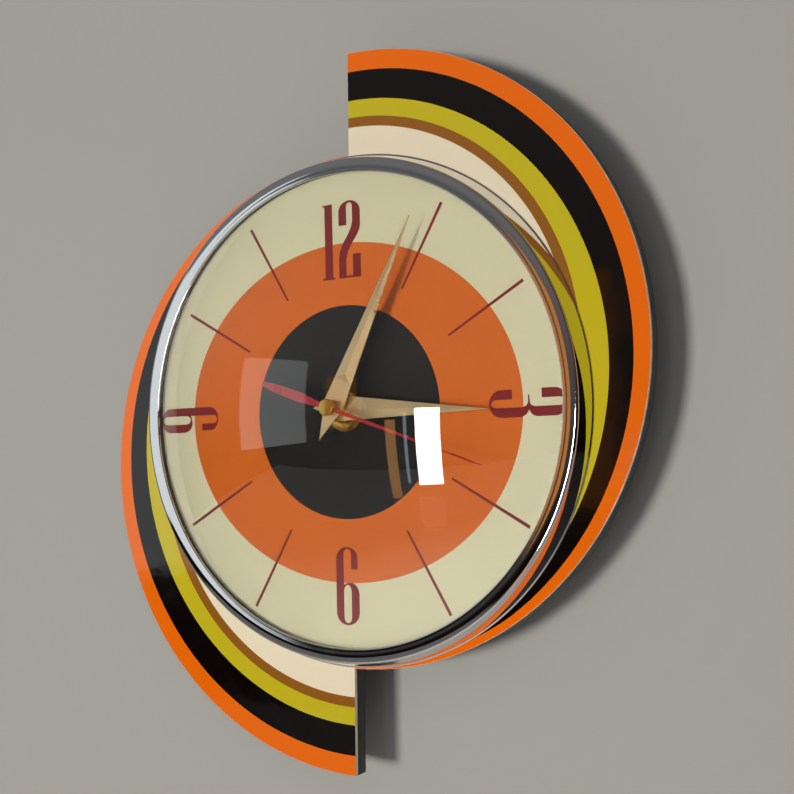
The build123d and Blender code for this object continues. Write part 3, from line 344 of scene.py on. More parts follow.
# Zinc-plated mild steel: a cool grey metal with soft spangle.
ZINC_PLATE = Finish(
    "zinc_plated_steel", "#B9BCC0", 0.34, 1.0, grain_size=2.2, relief=0.006, tone_spread=0.12,
    tone_size=6.0, gloss_spread=0.1,
)
NICKEL_PLATE = Finish("nickel_plated_spring_steel", "#C9C4B8", 0.22, 1.0, grain=Grain.BRUSHED, relief=0.002)
BLACK_ABS = Finish(
    "black_moulded_abs", "#131415", 0.46, grain=Grain.SPARKED, grain_size=0.5, relief=0.03, tone_spread=0.06
)
DARK_ABS = Finish(
    "charcoal_moulded_abs", "#1E2021", 0.4, grain=Grain.SPARKED, grain_size=0.4, relief=0.025
)
WHITE_ACETAL = Finish("white_moulded_acetal", "#E6E4DA", 0.35, ior=1.48, grain_size=0.6, relief=0.003)
GREEN_ACETAL = Finish("green_moulded_acetal", "#3E7F63", 0.35, ior=1.48, grain_size=0.6, relief=0.003)
AMBER_ACETAL = Finish("amber_moulded_acetal", "#C98A3A", 0.35, ior=1.48, grain_size=0.6, relief=0.003)
ROTOR_FERRITE = Finish("sintered_rotor_magnet", "#3B3A3C", 0.5, 0.3, grain=Grain.SPARKED, grain_size=0.2)
STATOR_STEEL = Finish(
    "annealed_stator_steel", "#A9A49B", 0.4, 1.0, grain=Grain.BRUSHED, grain_size=0.5, relief=0.003
)
BOBBIN_NYLON = Finish("natural_nylon_bobbin", "#D8D2BF", 0.45, grain_size=0.8, relief=0.004)
COPPER_WIRE = Finish("enamelled_copper_wire", "#B4602E", 0.25, 1.0, grain_size=0.6, relief=0.002)
CIRCUIT_LAMINATE = Finish(
    "green_circuit_laminate", "#1F5B38", 0.35, grain=Grain.FIBROUS, grain_size=0.5, relief=0.01,
    tone_spread=0.12,
)
POTTING_EPOXY = Finish("black_potting_epoxy", "#0D0D0D", 0.15, grain_size=2.0, relief=0.02)
CELL_STEEL = Finish("tinned_cell_steel", "#C4C6C8", 0.25, 1.0, grain=Grain.BRUSHED, relief=0.002)
WALL_PAINT = Finish(
    "grey_roller_wall_paint", "#A6A5A1", 0.75, grain=Grain.FIBROUS, grain_size=2.5, relief=0.05,
    tone_spread=0.02, tone_size=300.0,
)
FLOOR_PAINT = Finish("pale_studio_floor", "#D9D7D2", 0.6, grain_size=40.0, relief=0.05, tone_size=500.0)


# ---------------------------------------------------------------- mesh helpers
@dataclass(frozen=True)
class Seat:
    """Where a CAD node lies, in millimetres."""

    low: Vector
    high: Vector

    @classmethod
    def of(cls, node: str) -> "Seat":
        """The seat of a CAD node."""
        low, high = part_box(node)
        return cls(low / MM, high / MM)

    @property
    def middle(self) -> Vector:
        """Middle of the box."""
        return (self.low + self.high) / 2

    @property
    def radius(self) -> float:
        """Radius of a round node, from its width."""
        return (self.high.x - self.low.x) / 2


def finish_mesh(mesh: bpy.types.Mesh, sharp_angle: float = 32.0) -> None:
    """Merge a mesh's doubles, face it outwards and mark its sharp edges.

    Args:
        mesh: The mesh, in metres.
        sharp_angle: Edges that turn by more degrees than this stay sharp.
    """
    work = bmesh.new()
    work.from_mesh(mesh)
    bmesh.ops.remove_doubles(work, verts=work.verts, dist=WELD)
    bmesh.ops.recalc_face_normals(work, faces=work.faces)
    for face in work.faces:
        face.smooth = True
    for edge in work.edges:
        edge.smooth = edge.is_manifold and edge.calc_face_angle(0.0) < radians(sharp_angle)
    work.to_mesh(mesh)
    work.free()


def add_piece(
    name: str, mesh: bpy.types.Mesh, finish: Finish, body: str, stands_for: tuple[str, ...] = ()
) -> None:
    """Add a finished mesh to the clock.

    Args:
        name: The piece's name.
        mesh: Its mesh, in place and in metres.
        finish: What it is made of.
        body: The CAD body that it moves with.
        stands_for: CAD nodes that it replaces.
    """
    piece = bpy.data.objects.new(name, mesh)
    bpy.context.scene.collection.objects.link(piece)
    mesh.materials.clear()
    mesh.materials.append(finish.material())
    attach(piece, body)
    if stands_for:
        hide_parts(*stands_for)
    log.info("%s: %d faces on %s", name, len(mesh.polygons), body)


def dress(node: str, finish: Finish) -> None:
    """Give a CAD node its finish."""
    slots = bpy.data.objects[node].material_slots
    if not slots:
        bpy.data.objects[node].data.materials.append(finish.material())
    for slot in slots:
        slot.material = finish.material()
    log.info("%s: finish %s", node, finish.name)


def lathe(name: str, profile: list[Point], centre_z: float, segments: int) -> bpy.types.Mesh:
    """Turn a closed profile about the hand axis.

    Args:
        name: The mesh's name.
        profile: Corners as (radius, y), in millimetres; radius 0 makes a pole.
        centre_z: Height of the axis.
        segments: Steps round the axis.

    Returns:
        The mesh, with its doubles merged and its faces outwards.
    """
    points, faces = [], []
    for step in range(segments):
        turn = 2 * pi * step / segments
        points += [(r * sin(turn) * MM, y * MM, (centre_z + r * cos(turn)) * MM) for r, y in profile]
    count = len(profile)
    for step in range(segments):
        here, there = step * count, (step + 1) % segments * count
        for i in range(count):
            j = (i + 1) % count
            faces.append((here + i, here + j, there + j, there + i))
    mesh = bpy.data.meshes.new(name)
    mesh.from_pydata(points, [], faces)
    work = bmesh.new()
    work.from_mesh(mesh)
    bmesh.ops.remove_doubles(work, verts=work.verts, dist=WELD)
    bmesh.ops.dissolve_degenerate(work, edges=work.edges, dist=NO_LENGTH)
    work.to_mesh(mesh)
    work.free()
    finish_mesh(mesh)
    return mesh


def rounded(corner: Point, before: Point, after: Point, size: float, steps: int) -> list[Point]:
    """Points that round a profile's corner.

    Args:
        corner: The sharp corner.
        before: The profile's point before it.
        after: The profile's point after it.
        size: How far from the corner the rounding starts.
        steps: Segments in the rounding.

    Returns:
        Points from the side before to the side after.
    """
    tip = Vector(corner)
    start = tip + (Vector(before) - tip).normalized() * size
    end = tip + (Vector(after) - tip).normalized() * size
    points = []
    for i in range(steps + 1):
        t = i / steps
        points.append(tuple((1 - t) ** 2 * start + 2 * t * (1 - t) * tip + t**2 * end))
    return points


def plate_from_outlines(
    name: str, outlines: list[list[Point]], back: float, front: float
) -> bpy.types.Mesh:
    """Thin plate that faces the viewer, from flat outlines.

    Args:
        name: The mesh's name.
        outlines: Closed outlines as (x, z) points in millimetres; one inside another is a hole.
        back: Y of its back.
        front: Y of its front.

    Returns:
        The plate's mesh.
    """
    curve = bpy.data.curves.new(name, "CURVE")
    curve.dimensions = "2D"
    curve.fill_mode = "BOTH"
    curve.extrude = (back - front) / 2 * MM
    for outline in outlines:
        spline = curve.splines.new("POLY")
        spline.points.add(len(outline) - 1)
        for point, (x, z) in zip(spline.points, outline):
            point.co = (x * MM, z * MM, 0.0, 1.0)
        spline.use_cyclic_u = True
    holder = bpy.data.objects.new(name, curve)
    bpy.context.scene.collection.objects.link(holder)
    view = bpy.context.evaluated_depsgraph_get()
    mesh = bpy.data.meshes.new_from_object(holder.evaluated_get(view))
    bpy.data.objects.remove(holder)
    bpy.data.curves.remove(curve)
    upright = Matrix.Translation((0, (back + front) / 2 * MM, 0)) @ Matrix.Rotation(pi / 2, 4, "X")
    mesh.transform(upright)
    mesh.name = name
    finish_mesh(mesh)
    return mesh


def softened(name: str, node: str, edge: float, finish: Finish, body: str) -> None:
    """Stand a copy of a CAD node in for it, with the fine rounded edges of a finished piece.

    Args:
        name: The new piece's name.
        node: The CAD node.
        edge: Width of the rounding in millimetres.
        finish: What it is made of.
        body: The CAD body that it moves with.
    """
    mesh = bpy.data.objects[node].data.copy()
    mesh.name = name
    work = bmesh.new()
    work.from_mesh(mesh)
    bmesh.ops.remove_doubles(work, verts=work.verts, dist=CAD_WELD)
    bmesh.ops.dissolve_limit(work, angle_limit=radians(FLAT_ANGLE), verts=work.verts, edges=work.edges)
    sharp = [e for e in work.edges if e.is_manifold and e.calc_face_angle(0.0) > radians(SHARP_ANGLE)]
    bmesh.ops.bevel(
        work, geom=sharp, offset=edge * MM, segments=2, profile=0.6, affect="EDGES", clamp_overlap=True
    )
    work.to_mesh(mesh)
    work.free()
    if mesh.attributes.get("custom_normal"):
        mesh.attributes.remove(mesh.attributes["custom_normal"])
    finish_mesh(mesh, SHARP_ANGLE)
    add_piece(name, mesh, finish, body, (node,))


# ---------------------------------------------------------------- geometry-node patterns
class Pattern:
    """A geometry-node tree with named sizes, which is run once to make a plain mesh."""

    def __init__(self, name: str, sizes: dict[str, float]) -> None:
        """Start the tree.

        Args:
            name: The tree's name.
            sizes: Each input's name and value; a whole number makes a count.
        """
        self.sizes = sizes
        self.tree = bpy.data.node_groups.new(name, "GeometryNodeTree")
        sockets = self.tree.interface
        sockets.new_socket("Geometry", in_out="INPUT", socket_type="NodeSocketGeometry")
        self.identifiers: dict[str, str] = {}
        for label, value in sizes.items():
            kind = "NodeSocketInt" if isinstance(value, int) else "NodeSocketFloat"
            socket = sockets.new_socket(label, in_out="INPUT", socket_type=kind)
            socket.default_value = value
            self.identifiers[label] = socket.identifier
        sockets.new_socket("Geometry", in_out="OUTPUT", socket_type="NodeSocketGeometry")
        self.get = add_node(self.tree, "NodeGroupInput").outputs

    def close(self, shape: Socket, finish: Finish) -> None:
        """End the tree: make its copies real and give them their material."""
        real = add_node(self.tree, "GeometryNodeRealizeInstances", inputs={0: shape}).outputs[0]
        inputs = {"Geometry": real, "Material": finish.material()}
        dressed = add_node(self.tree, "GeometryNodeSetMaterial", inputs=inputs)
        add_node(self.tree, "NodeGroupOutput", inputs={0: dressed.outputs[0]})

    def mesh(self, source: bpy.types.Mesh | None = None) -> bpy.types.Mesh:
        """Run the tree, on a mesh if it needs one, and keep its result."""
        name = self.tree.name
        holder = bpy.data.objects.new(name, source or bpy.data.meshes.new(name))
        bpy.context.scene.collection.objects.link(holder)
        modifier = holder.modifiers.new(name, "NODES")
        modifier.node_group = self.tree
        for label, value in self.sizes.items():
            modifier[self.identifiers[label]] = value
        view = bpy.context.evaluated_depsgraph_get()
        mesh = bpy.data.meshes.new_from_object(holder.evaluated_get(view))
        holder.modifiers.remove(modifier)
        bpy.data.objects.remove(holder)
        mesh.name = name
        return mesh

    def copies_round(self, places: Socket, index: Socket, points: Socket, shape: Socket) -> Socket:
        """Copies of a shape set evenly round the Y axis.

        Args:
            places: How many places there are round the axis.
            index: Each point's place, counted from the top.
            points: The points that get a copy.
            shape: What is copied.

        Returns:
            The copies.
        """
        step = calculate(self.tree, "DIVIDE", 2 * pi, places)
        turn = calculate(self.tree, "ADD", calculate(self.tree, "MULTIPLY", index, step), self.get["Turn"])
        inputs = {"Points": points, "Instance": shape, "Rotation": combine(self.tree, 0.0, turn, 0.0)}
        return add_node(self.tree, "GeometryNodeInstanceOnPoints", inputs=inputs).outputs[0]


def dial_marks(finish: Finish, sizes: dict[str, float]) -> bpy.types.Mesh:
    """Tapered bars round a dial, with every third place left free for a numeral.

    Args:
        finish: The bars' ink.
        sizes: Places, Inner and Outer Radius, Inner and Outer Width, Thickness and Turn.

    Returns:
        The bars' mesh, about the Y axis.
    """
    pattern = Pattern("dial_marks", sizes)
    tree, get = pattern.tree, pattern.get
    inner, outer = get["Inner Radius"], get["Outer Radius"]
    line = add_node(tree, "GeometryNodeMeshLine", inputs={"Count": get["Places"], "Offset": (0, 0, 0)})
    index = add_node(tree, "GeometryNodeInputIndex").outputs[0]
    third = calculate(tree, "MODULO", index, 3.0)
    is_free = add_node(tree, "FunctionNodeCompare", {"operation": "LESS_THAN"}, {0: third, 1: 0.5}).outputs[0]
    points = add_node(tree, "GeometryNodeMeshToPoints", inputs={0: line.outputs[0]}).outputs[0]
    numbered = add_node(tree, "GeometryNodeCaptureAttribute", {"domain": "POINT"}, {0: points})
    numbered.capture_items.new("INT", "place")
    tree.links.new(index, numbered.inputs[1])
    chosen = {0: numbered.outputs[0], 1: is_free}
    kept = add_node(tree, "GeometryNodeDeleteGeometry", {"domain": "POINT"}, chosen).outputs[0]
    span = calculate(tree, "SUBTRACT", outer, inner)
    middle = calculate(tree, "ADD", inner, calculate(tree, "MULTIPLY", span, 0.5))
    size = combine(tree, 1.0, get["Thickness"], span)
    bar = add_node(tree, "GeometryNodeMeshCube", inputs={"Size": size, "Vertices Z": 3}).outputs[0]
    lifted = {"Geometry": bar, "Translation": combine(tree, 0.0, 0.0, middle)}
    at_ring = add_node(tree, "GeometryNodeTransform", inputs=lifted).outputs[0]
    position = add_node(tree, "GeometryNodeInputPosition").outputs[0]
    x, y, z = add_node(tree, "ShaderNodeSeparateXYZ", inputs={0: position}).outputs
    width = map_range(tree, z, (inner, outer), (get["Inner Width"], get["Outer Width"]))
    narrowed = combine(tree, calculate(tree, "MULTIPLY", x, width), y, z)
    moved = {"Geometry": at_ring, "Position": narrowed}
    tapered = add_node(tree, "GeometryNodeSetPosition", inputs=moved).outputs[0]
    pattern.close(pattern.copies_round(get["Places"], numbered.outputs[1], kept, tapered), finish)
    return pattern.mesh()


def ring_of_copies(
    name: str, finish: Finish, sizes: dict[str, float], source: bpy.types.Mesh
) -> bpy.types.Mesh:
    """Copies of a mesh set evenly round the Y axis.

    Args:
        name: The result's name.
        finish: The copies' finish.
        sizes: Copies and Turn.
        source: The mesh to copy.

    Returns:
        The copies as one mesh.
    """
    pattern = Pattern(name, sizes)
    get = pattern.get
    inputs = {"Count": get["Copies"], "Offset": (0, 0, 0)}
    line = add_node(pattern.tree, "GeometryNodeMeshLine", inputs=inputs).outputs[0]
    index = add_node(pattern.tree, "GeometryNodeInputIndex").outputs[0]
    pattern.close(pattern.copies_round(get["Copies"], index, line, get["Geometry"]), finish)
    return pattern.mesh(source)


@dataclass(frozen=True)
class WoundWire:
    """Round wire wound along a line: a spring, a winding or a thread. Sizes are millimetres."""

    turns: float
    start_radius: float
    end_radius: float
    length: float
    wire: float  # radius of the wire
    sides: int
    steps: int  # in each turn
    sharp_angle: float = 60.0

    def add(self, name: str, finish: Finish, start: Vector, axis: str, piece: str) -> None:
        """Wind the wire and add it to the clock.

        Args:
            name: The pattern's name.
            finish: The wire's finish.
            start: Where the winding starts.
            axis: The axis that the winding is tipped about, from upright.
            piece: The piece's name.
        """
        pattern = Pattern(
            name,
            {
                "Turns": self.turns,
                "Start Radius": self.start_radius * MM,
                "End Radius": self.end_radius * MM,
                "Length": self.length * MM,
                "Wire Radius": self.wire * MM,
                "Wire Sides": self.sides,
                "Steps": self.steps,
            },
        )
        tree, get = pattern.tree, pattern.get
        spiral = {"Resolution": get["Steps"], "Rotations": get["Turns"], "Height": get["Length"]}
        spiral |= {label: get[label] for label in ("Start Radius", "End Radius")}
        path = add_node(tree, "GeometryNodeCurveSpiral", inputs=spiral).outputs[0]
        section = {"Resolution": get["Wire Sides"], "Radius": get["Wire Radius"]}
        ring = add_node(tree, "GeometryNodeCurvePrimitiveCircle", inputs=section).outputs[0]
        swept = {"Curve": path, "Profile Curve": ring, "Fill Caps": True}
        pattern.close(add_node(tree, "GeometryNodeCurveToMesh", inputs=swept).outputs[0], finish)
        mesh = pattern.mesh()
        mesh.transform(Matrix.Translation(start * MM) @ Matrix.Rotation(pi / 2, 4, axis))
        finish_mesh(mesh, self.sharp_angle)
        add_piece(piece, mesh, finish, FRAME_BODY)


# ---------------------------------------------------------------- drawn numerals
class Pen:
    """Draws one closed outline in millimetres, with the curves that a sign writer uses."""

    def __init__(self, x: float, z: float) -> None:
        """Start at a point."""
        self.points: list[Point] = [(x, z)]

    def to(self, *stops: Point) -> "Pen":
        """Straight strokes through the stops."""
        self.points += stops
        return self

    def quarter(self, x: float, z: float, upright: bool, steps: int = 12) -> "Pen":
        """Quarter of an ellipse.

        Args:
            x: End, across.
            z: End, up.
            upright: Whether it starts going up or down, and not across.
            steps: Segments in the curve.

        Returns:
            The pen, for the next stroke.
        """
        from_x, from_z = self.points[-1]
        for i in range(1, steps + 1):
            t = pi / 2 * i / steps
            if upright:
                self.points.append((x + (from_x - x) * cos(t), from_z + (z - from_z) * sin(t)))
            else:
                self.points.append((from_x + (x - from_x) * sin(t), z + (from_z - z) * cos(t)))
        return self

    def bend(self, pull: Point, end: Point, steps: int = 12) -> "Pen":
        """Curve that leans towards a point on its way to the end.

        Args:
            pull: Point that it leans towards.
            end: Its end.
            steps: Segments in the curve.

        Returns:
            The pen, for the next stroke.
        """
        start = self.points[-1]
        for i in range(1, steps + 1):
            t = i / steps
            weights = ((1 - t) ** 2, 2 * t * (1 - t), t * t)
            self.points.append(
                tuple(sum(w * p[axis] for w, p in zip(weights, (start, pull, end))) for axis in (0, 1))
            )
        return self


def numeral_one() -> list[list[Point]]:
    """A tall 1 with a thin flag and foot; its foot stands on zero."""
    pen = Pen(0.0, 0.9).to((0.0, 30.8), (-0.5, 31.3), (-1.2, 31.4), (-1.2, 31.8), (3.8, 32.1), (3.8, 0.9))
    return [pen.to((4.8, 0.8), (4.8, 0.0), (-1.2, 0.0), (-1.2, 0.8)).points]


def numeral_two() -> list[list[Point]]:
    """A tall 2 with thick strokes, a hairline arch and a block at the end of its base."""
    pen = Pen(0.1, 22.3).to((0.1, 27.9)).quarter(5.4, 32.6, True).quarter(10.7, 27.9, False).to((10.7, 22.6))
    pen.bend((10.7, 19.8), (8.0, 16.3)).bend((3.6, 10.9), (3.6, 7.1)).to((3.6, 0.9), (6.9, 0.9), (6.9, 9.8))
    pen.to((10.7, 9.8), (10.7, 0.0), (0.0, 0.0), (0.0, 7.1)).bend((0.0, 11.6), (2.7, 15.6))
    pen.bend((6.9, 20.9), (6.9, 24.6)).to((6.9, 30.0)).quarter(5.4, 31.7, True).quarter(3.9, 30.0, False)
    return [pen.to((3.9, 22.3)).points]


def numeral_three() -> list[list[Point]]:
    """A tall 3 with two bowls that meet in a hairline spur."""
    pen = Pen(0.0, 22.2).to((0.0, 27.4)).quarter(5.4, 32.6, True).quarter(10.8, 27.8, False).to((10.8, 20.9))
    pen.bend((10.8, 18.0), (8.1, 16.9)).bend((10.9, 15.6), (10.9, 12.6)).to((10.9, 5.4))
    pen.quarter(5.5, 0.0, True).quarter(0.2, 5.2, False).to((0.2, 9.8), (3.9, 9.8), (3.9, 3.2))
    pen.quarter(5.5, 0.9, True).quarter(7.1, 3.2, False).to((7.1, 13.0)).bend((7.1, 16.2), (4.9, 16.5))
    pen.to((2.4, 16.6), (2.4, 17.1), (5.1, 17.2)).bend((6.9, 17.4), (6.9, 20.2)).to((6.9, 29.3))
    return [pen.quarter(5.3, 31.7, True).quarter(3.7, 29.3, False).to((3.7, 22.2)).points]


def numeral_six() -> list[list[Point]]:
    """A tall 6 with a closed bowl and a thick end to its hook."""
    pen = Pen(0.0, 27.0).quarter(5.2, 32.0, True).quarter(10.4, 27.8, False)
    pen.to((10.4, 22.9), (7.3, 22.9), (7.3, 29.4))
    pen.quarter(5.5, 31.2, True).quarter(3.6, 29.2, False).to((3.6, 16.4)).bend((4.8, 17.3), (7.0, 17.3))
    pen.quarter(11.1, 12.4, False).to((11.1, 5.3)).quarter(5.5, 0.0, True).quarter(0.0, 5.3, False)
    bowl = Pen(3.6, 13.6).quarter(5.5, 16.4, True).quarter(7.4, 13.6, False).to((7.4, 3.3))
    bowl.quarter(5.5, 0.9, True).quarter(3.6, 3.3, False)
    return [pen.points, bowl.points]


def numeral_nine() -> list[list[Point]]:
    """The 6 turned over."""
    return [[(11.1 - x, 32.0 - z) for x, z in outline] for outline in numeral_six()]


# ---------------------------------------------------------------- sub-assemblies
@dataclass(frozen=True)
class StripeEdge:
    """Where two bands meet, which drifts out towards the covered end of its half-disc."""

    inset: float  # from the edge of the half-disc, at the free end
    drift: float  # millimetres outwards for each radian squared past the start
    start: float = 0.35  # radians round the half-disc
    least: float = 0.0  # the smallest inset that the drift may leave

    def inset_at(self, turn: float) -> float:
        """The inset at an angle round the half-disc."""
        drifted = self.inset - self.drift * max(turn - self.start, 0.0) ** 2
        return max(drifted, self.least)


@dataclass(frozen=True)
class Stripe:
    """One printed band between two edges."""

    name: str
    outer: StripeEdge
    inner: StripeEdge
    finish: Finish


EDGE_OF_BOARD = StripeEdge(0.12, 0.0)
ORANGE_TO_BLACK = StripeEdge(8.3, 1.05, least=3.2)
BLACK_TO_GREEN = StripeEdge(20.8, 2.84)
GREEN_TO_BROWN = StripeEdge(28.2, 0.6)
BROWN_TO_CREAM = StripeEdge(32.4, 0.6)


@dataclass
class OnAxis:
    """A sub-assembly about the hand axis."""

    axis_z: float  # height of the hand axis


@dataclass
class BackingBoard(OnAxis):
    """Two offset half-discs of black fibreboard, faced with striped gloss laminate."""

    radius: float = 130.4
    half_shift: float = 22.1
    stripe_thickness: float = 0.05
    bezel_foot: float = 107.0  # stripes end under the bezel's foot
    from_cut: float = 0.06
    least_width: float = 0.1
    stripe_steps: int = 180
    stripes: tuple[Stripe, ...] = (
        Stripe("stripe_orange", EDGE_OF_BOARD, ORANGE_TO_BLACK, LAMINATE_ORANGE),
        Stripe("stripe_black", ORANGE_TO_BLACK, BLACK_TO_GREEN, LAMINATE_BLACK),
        Stripe("stripe_green", BLACK_TO_GREEN, GREEN_TO_BROWN, LAMINATE_GREEN),
        Stripe("stripe_brown", GREEN_TO_BROWN, BROWN_TO_CREAM, LAMINATE_BROWN),
    )

    def build(self) -> None:
        """Dress the board and lay its stripes."""
        softened("board_body", "backing_board", 0.35, BLACK_BOARD, FRAME_BODY)
        softened("laminate_sheet", "laminate_face", 0.12, LAMINATE_CREAM, FRAME_BODY)
        front = Seat.of("laminate_face").low.y
        for stripe in self.stripes:
            halves = [self.band(stripe, side) for side in (1, -1)]
            mesh = plate_from_outlines(stripe.name, halves, front, front - self.stripe_thickness)
            add_piece(stripe.name, mesh, stripe.finish, FRAME_BODY)

    def band(self, stripe: Stripe, side: int) -> list[Point]:
        """Outline of a stripe on one half, from its free end to its covered end and back.

        Args:
            stripe: The stripe.
            side: 1 for the right half, which is slid up, and -1 for the left, slid down.

        Returns:
            Points as (x, z).
        """
        lift = side * self.half_shift
        there, back = [], []
        for i in range(self.stripe_steps + 1):
            turn = pi * i / self.stripe_steps
            along = -self.half_shift * cos(turn)
            foot = along + sqrt(along**2 - lift**2 + self.bezel_foot**2)
            outer = self.radius - stripe.outer.inset_at(turn)
            inner = self.radius - stripe.inner.inset_at(turn)
            if outer <= foot + self.least_width:
                break
            for reach, points in ((outer, there), (max(inner, foot), back)):
                x = side * max(reach * sin(turn), self.from_cut)
                points.append((x, self.axis_z + lift + side * reach * cos(turn)))
        return there + back[::-1]


@dataclass
class Dial(OnAxis):
    """Enamelled dial with its printed oval, disc, marks and numerals."""

    oval_half_width: float = 80.7
    oval_half_height: float = 70.9
    disc_radius: float = 44.6
    hole_radius: float = 4.2
    ink: float = 0.04
    mark_inner: float = 56.7
    mark_outer: float = 94.8
    mark_inner_width: float = 0.9
    mark_outer_width: float = 1.3
    print_turn: float = -0.5  # the print sits half a degree anticlockwise
    print_drop: float = 1.3  # and a little below the hand axis
    outline_steps: int = 240

    def build(self) -> None:
        """Dress the dial and print it."""
        dress("dial_disc", DIAL_ENAMEL)
        dress("dial_spacer", RAW_FIBREBOARD)
        face = Seat.of("dial_disc").low.y
        print_z = self.axis_z - self.print_drop
        hole = self.ellipse(self.hole_radius, self.hole_radius, self.axis_z)
        oval = self.ellipse(self.oval_half_width, self.oval_half_height, print_z)
        disc = self.ellipse(self.disc_radius, self.disc_radius, print_z)
        for coats, (name, outline, ink) in enumerate(
            (("dial_orange_oval", oval, INK_ORANGE), ("dial_black_disc", disc, INK_BLACK)), 1
        ):
            mesh = plate_from_outlines(name, [outline, hole], face, face - coats * self.ink)
            add_piece(name, mesh, ink, FRAME_BODY)
        self.print_marks(print_z, face)
        self.print_numerals(print_z, face)

    def ellipse(self, half_width: float, half_height: float, middle_z: float) -> list[Point]:
        """Outline of an ellipse on the hand axis's plumb line."""
        turns = [2 * pi * i / self.outline_steps for i in range(self.outline_steps)]
        return [(half_width * sin(t), middle_z + half_height * cos(t)) for t in turns]

    def print_marks(self, print_z: float, face: float) -> None:
        """Print the eight hour marks.

        Args:
            print_z: Height of the print's middle.
            face: Y of the dial's face.
        """
        sizes = {
            "Places": 12,
            "Inner Radius": self.mark_inner * MM,
            "Outer Radius": self.mark_outer * MM,
            "Inner Width": self.mark_inner_width * MM,
            "Outer Width": self.mark_outer_width * MM,
            "Thickness": 3 * self.ink * MM,
            "Turn": radians(self.print_turn),
        }
        mesh = dial_marks(INK_RED, sizes)
        mesh.transform(Matrix.Translation((0, (face - 1.5 * self.ink) * MM, print_z * MM)))
        finish_mesh(mesh)
        add_piece("dial_hour_marks", mesh, INK_RED, FRAME_BODY)

    def print_numerals(self, print_z: float, face: float) -> None:
        """Print 12, 3, 6 and 9; the side ones lie with their tops outwards, and 6 stands upright.

        Args:
            print_z: Height of the print's middle.
            face: Y of the dial's face.
        """
        numerals = (
            ("dial_numeral_12_ten", numeral_one(), (-8.7, 56.0), 0),
            ("dial_numeral_12_two", numeral_two(), (-1.8, 56.1), 0),
            ("dial_numeral_3", numeral_three(), (-5.5, 66.2), 90),
            ("dial_numeral_6", numeral_six(), (-6.0, -88.1), 0),
            ("dial_numeral_9", numeral_nine(), (-5.9, 67.3), -90),
        )
        for name, outlines, (left, foot), turn in numerals:
            across, down = cos(radians(turn + self.print_turn)), sin(radians(turn + self.print_turn))
            placed = []
            for outline in outlines:
                spots = [(x + left, z + foot) for x, z in outline]
                placed.append([(x * across + z * down, print_z - x * down + z * across) for x, z in spots])
            mesh = plate_from_outlines(name, placed, face, face - 3 * self.ink)
            add_piece(name, mesh, INK_RED, FRAME_BODY)


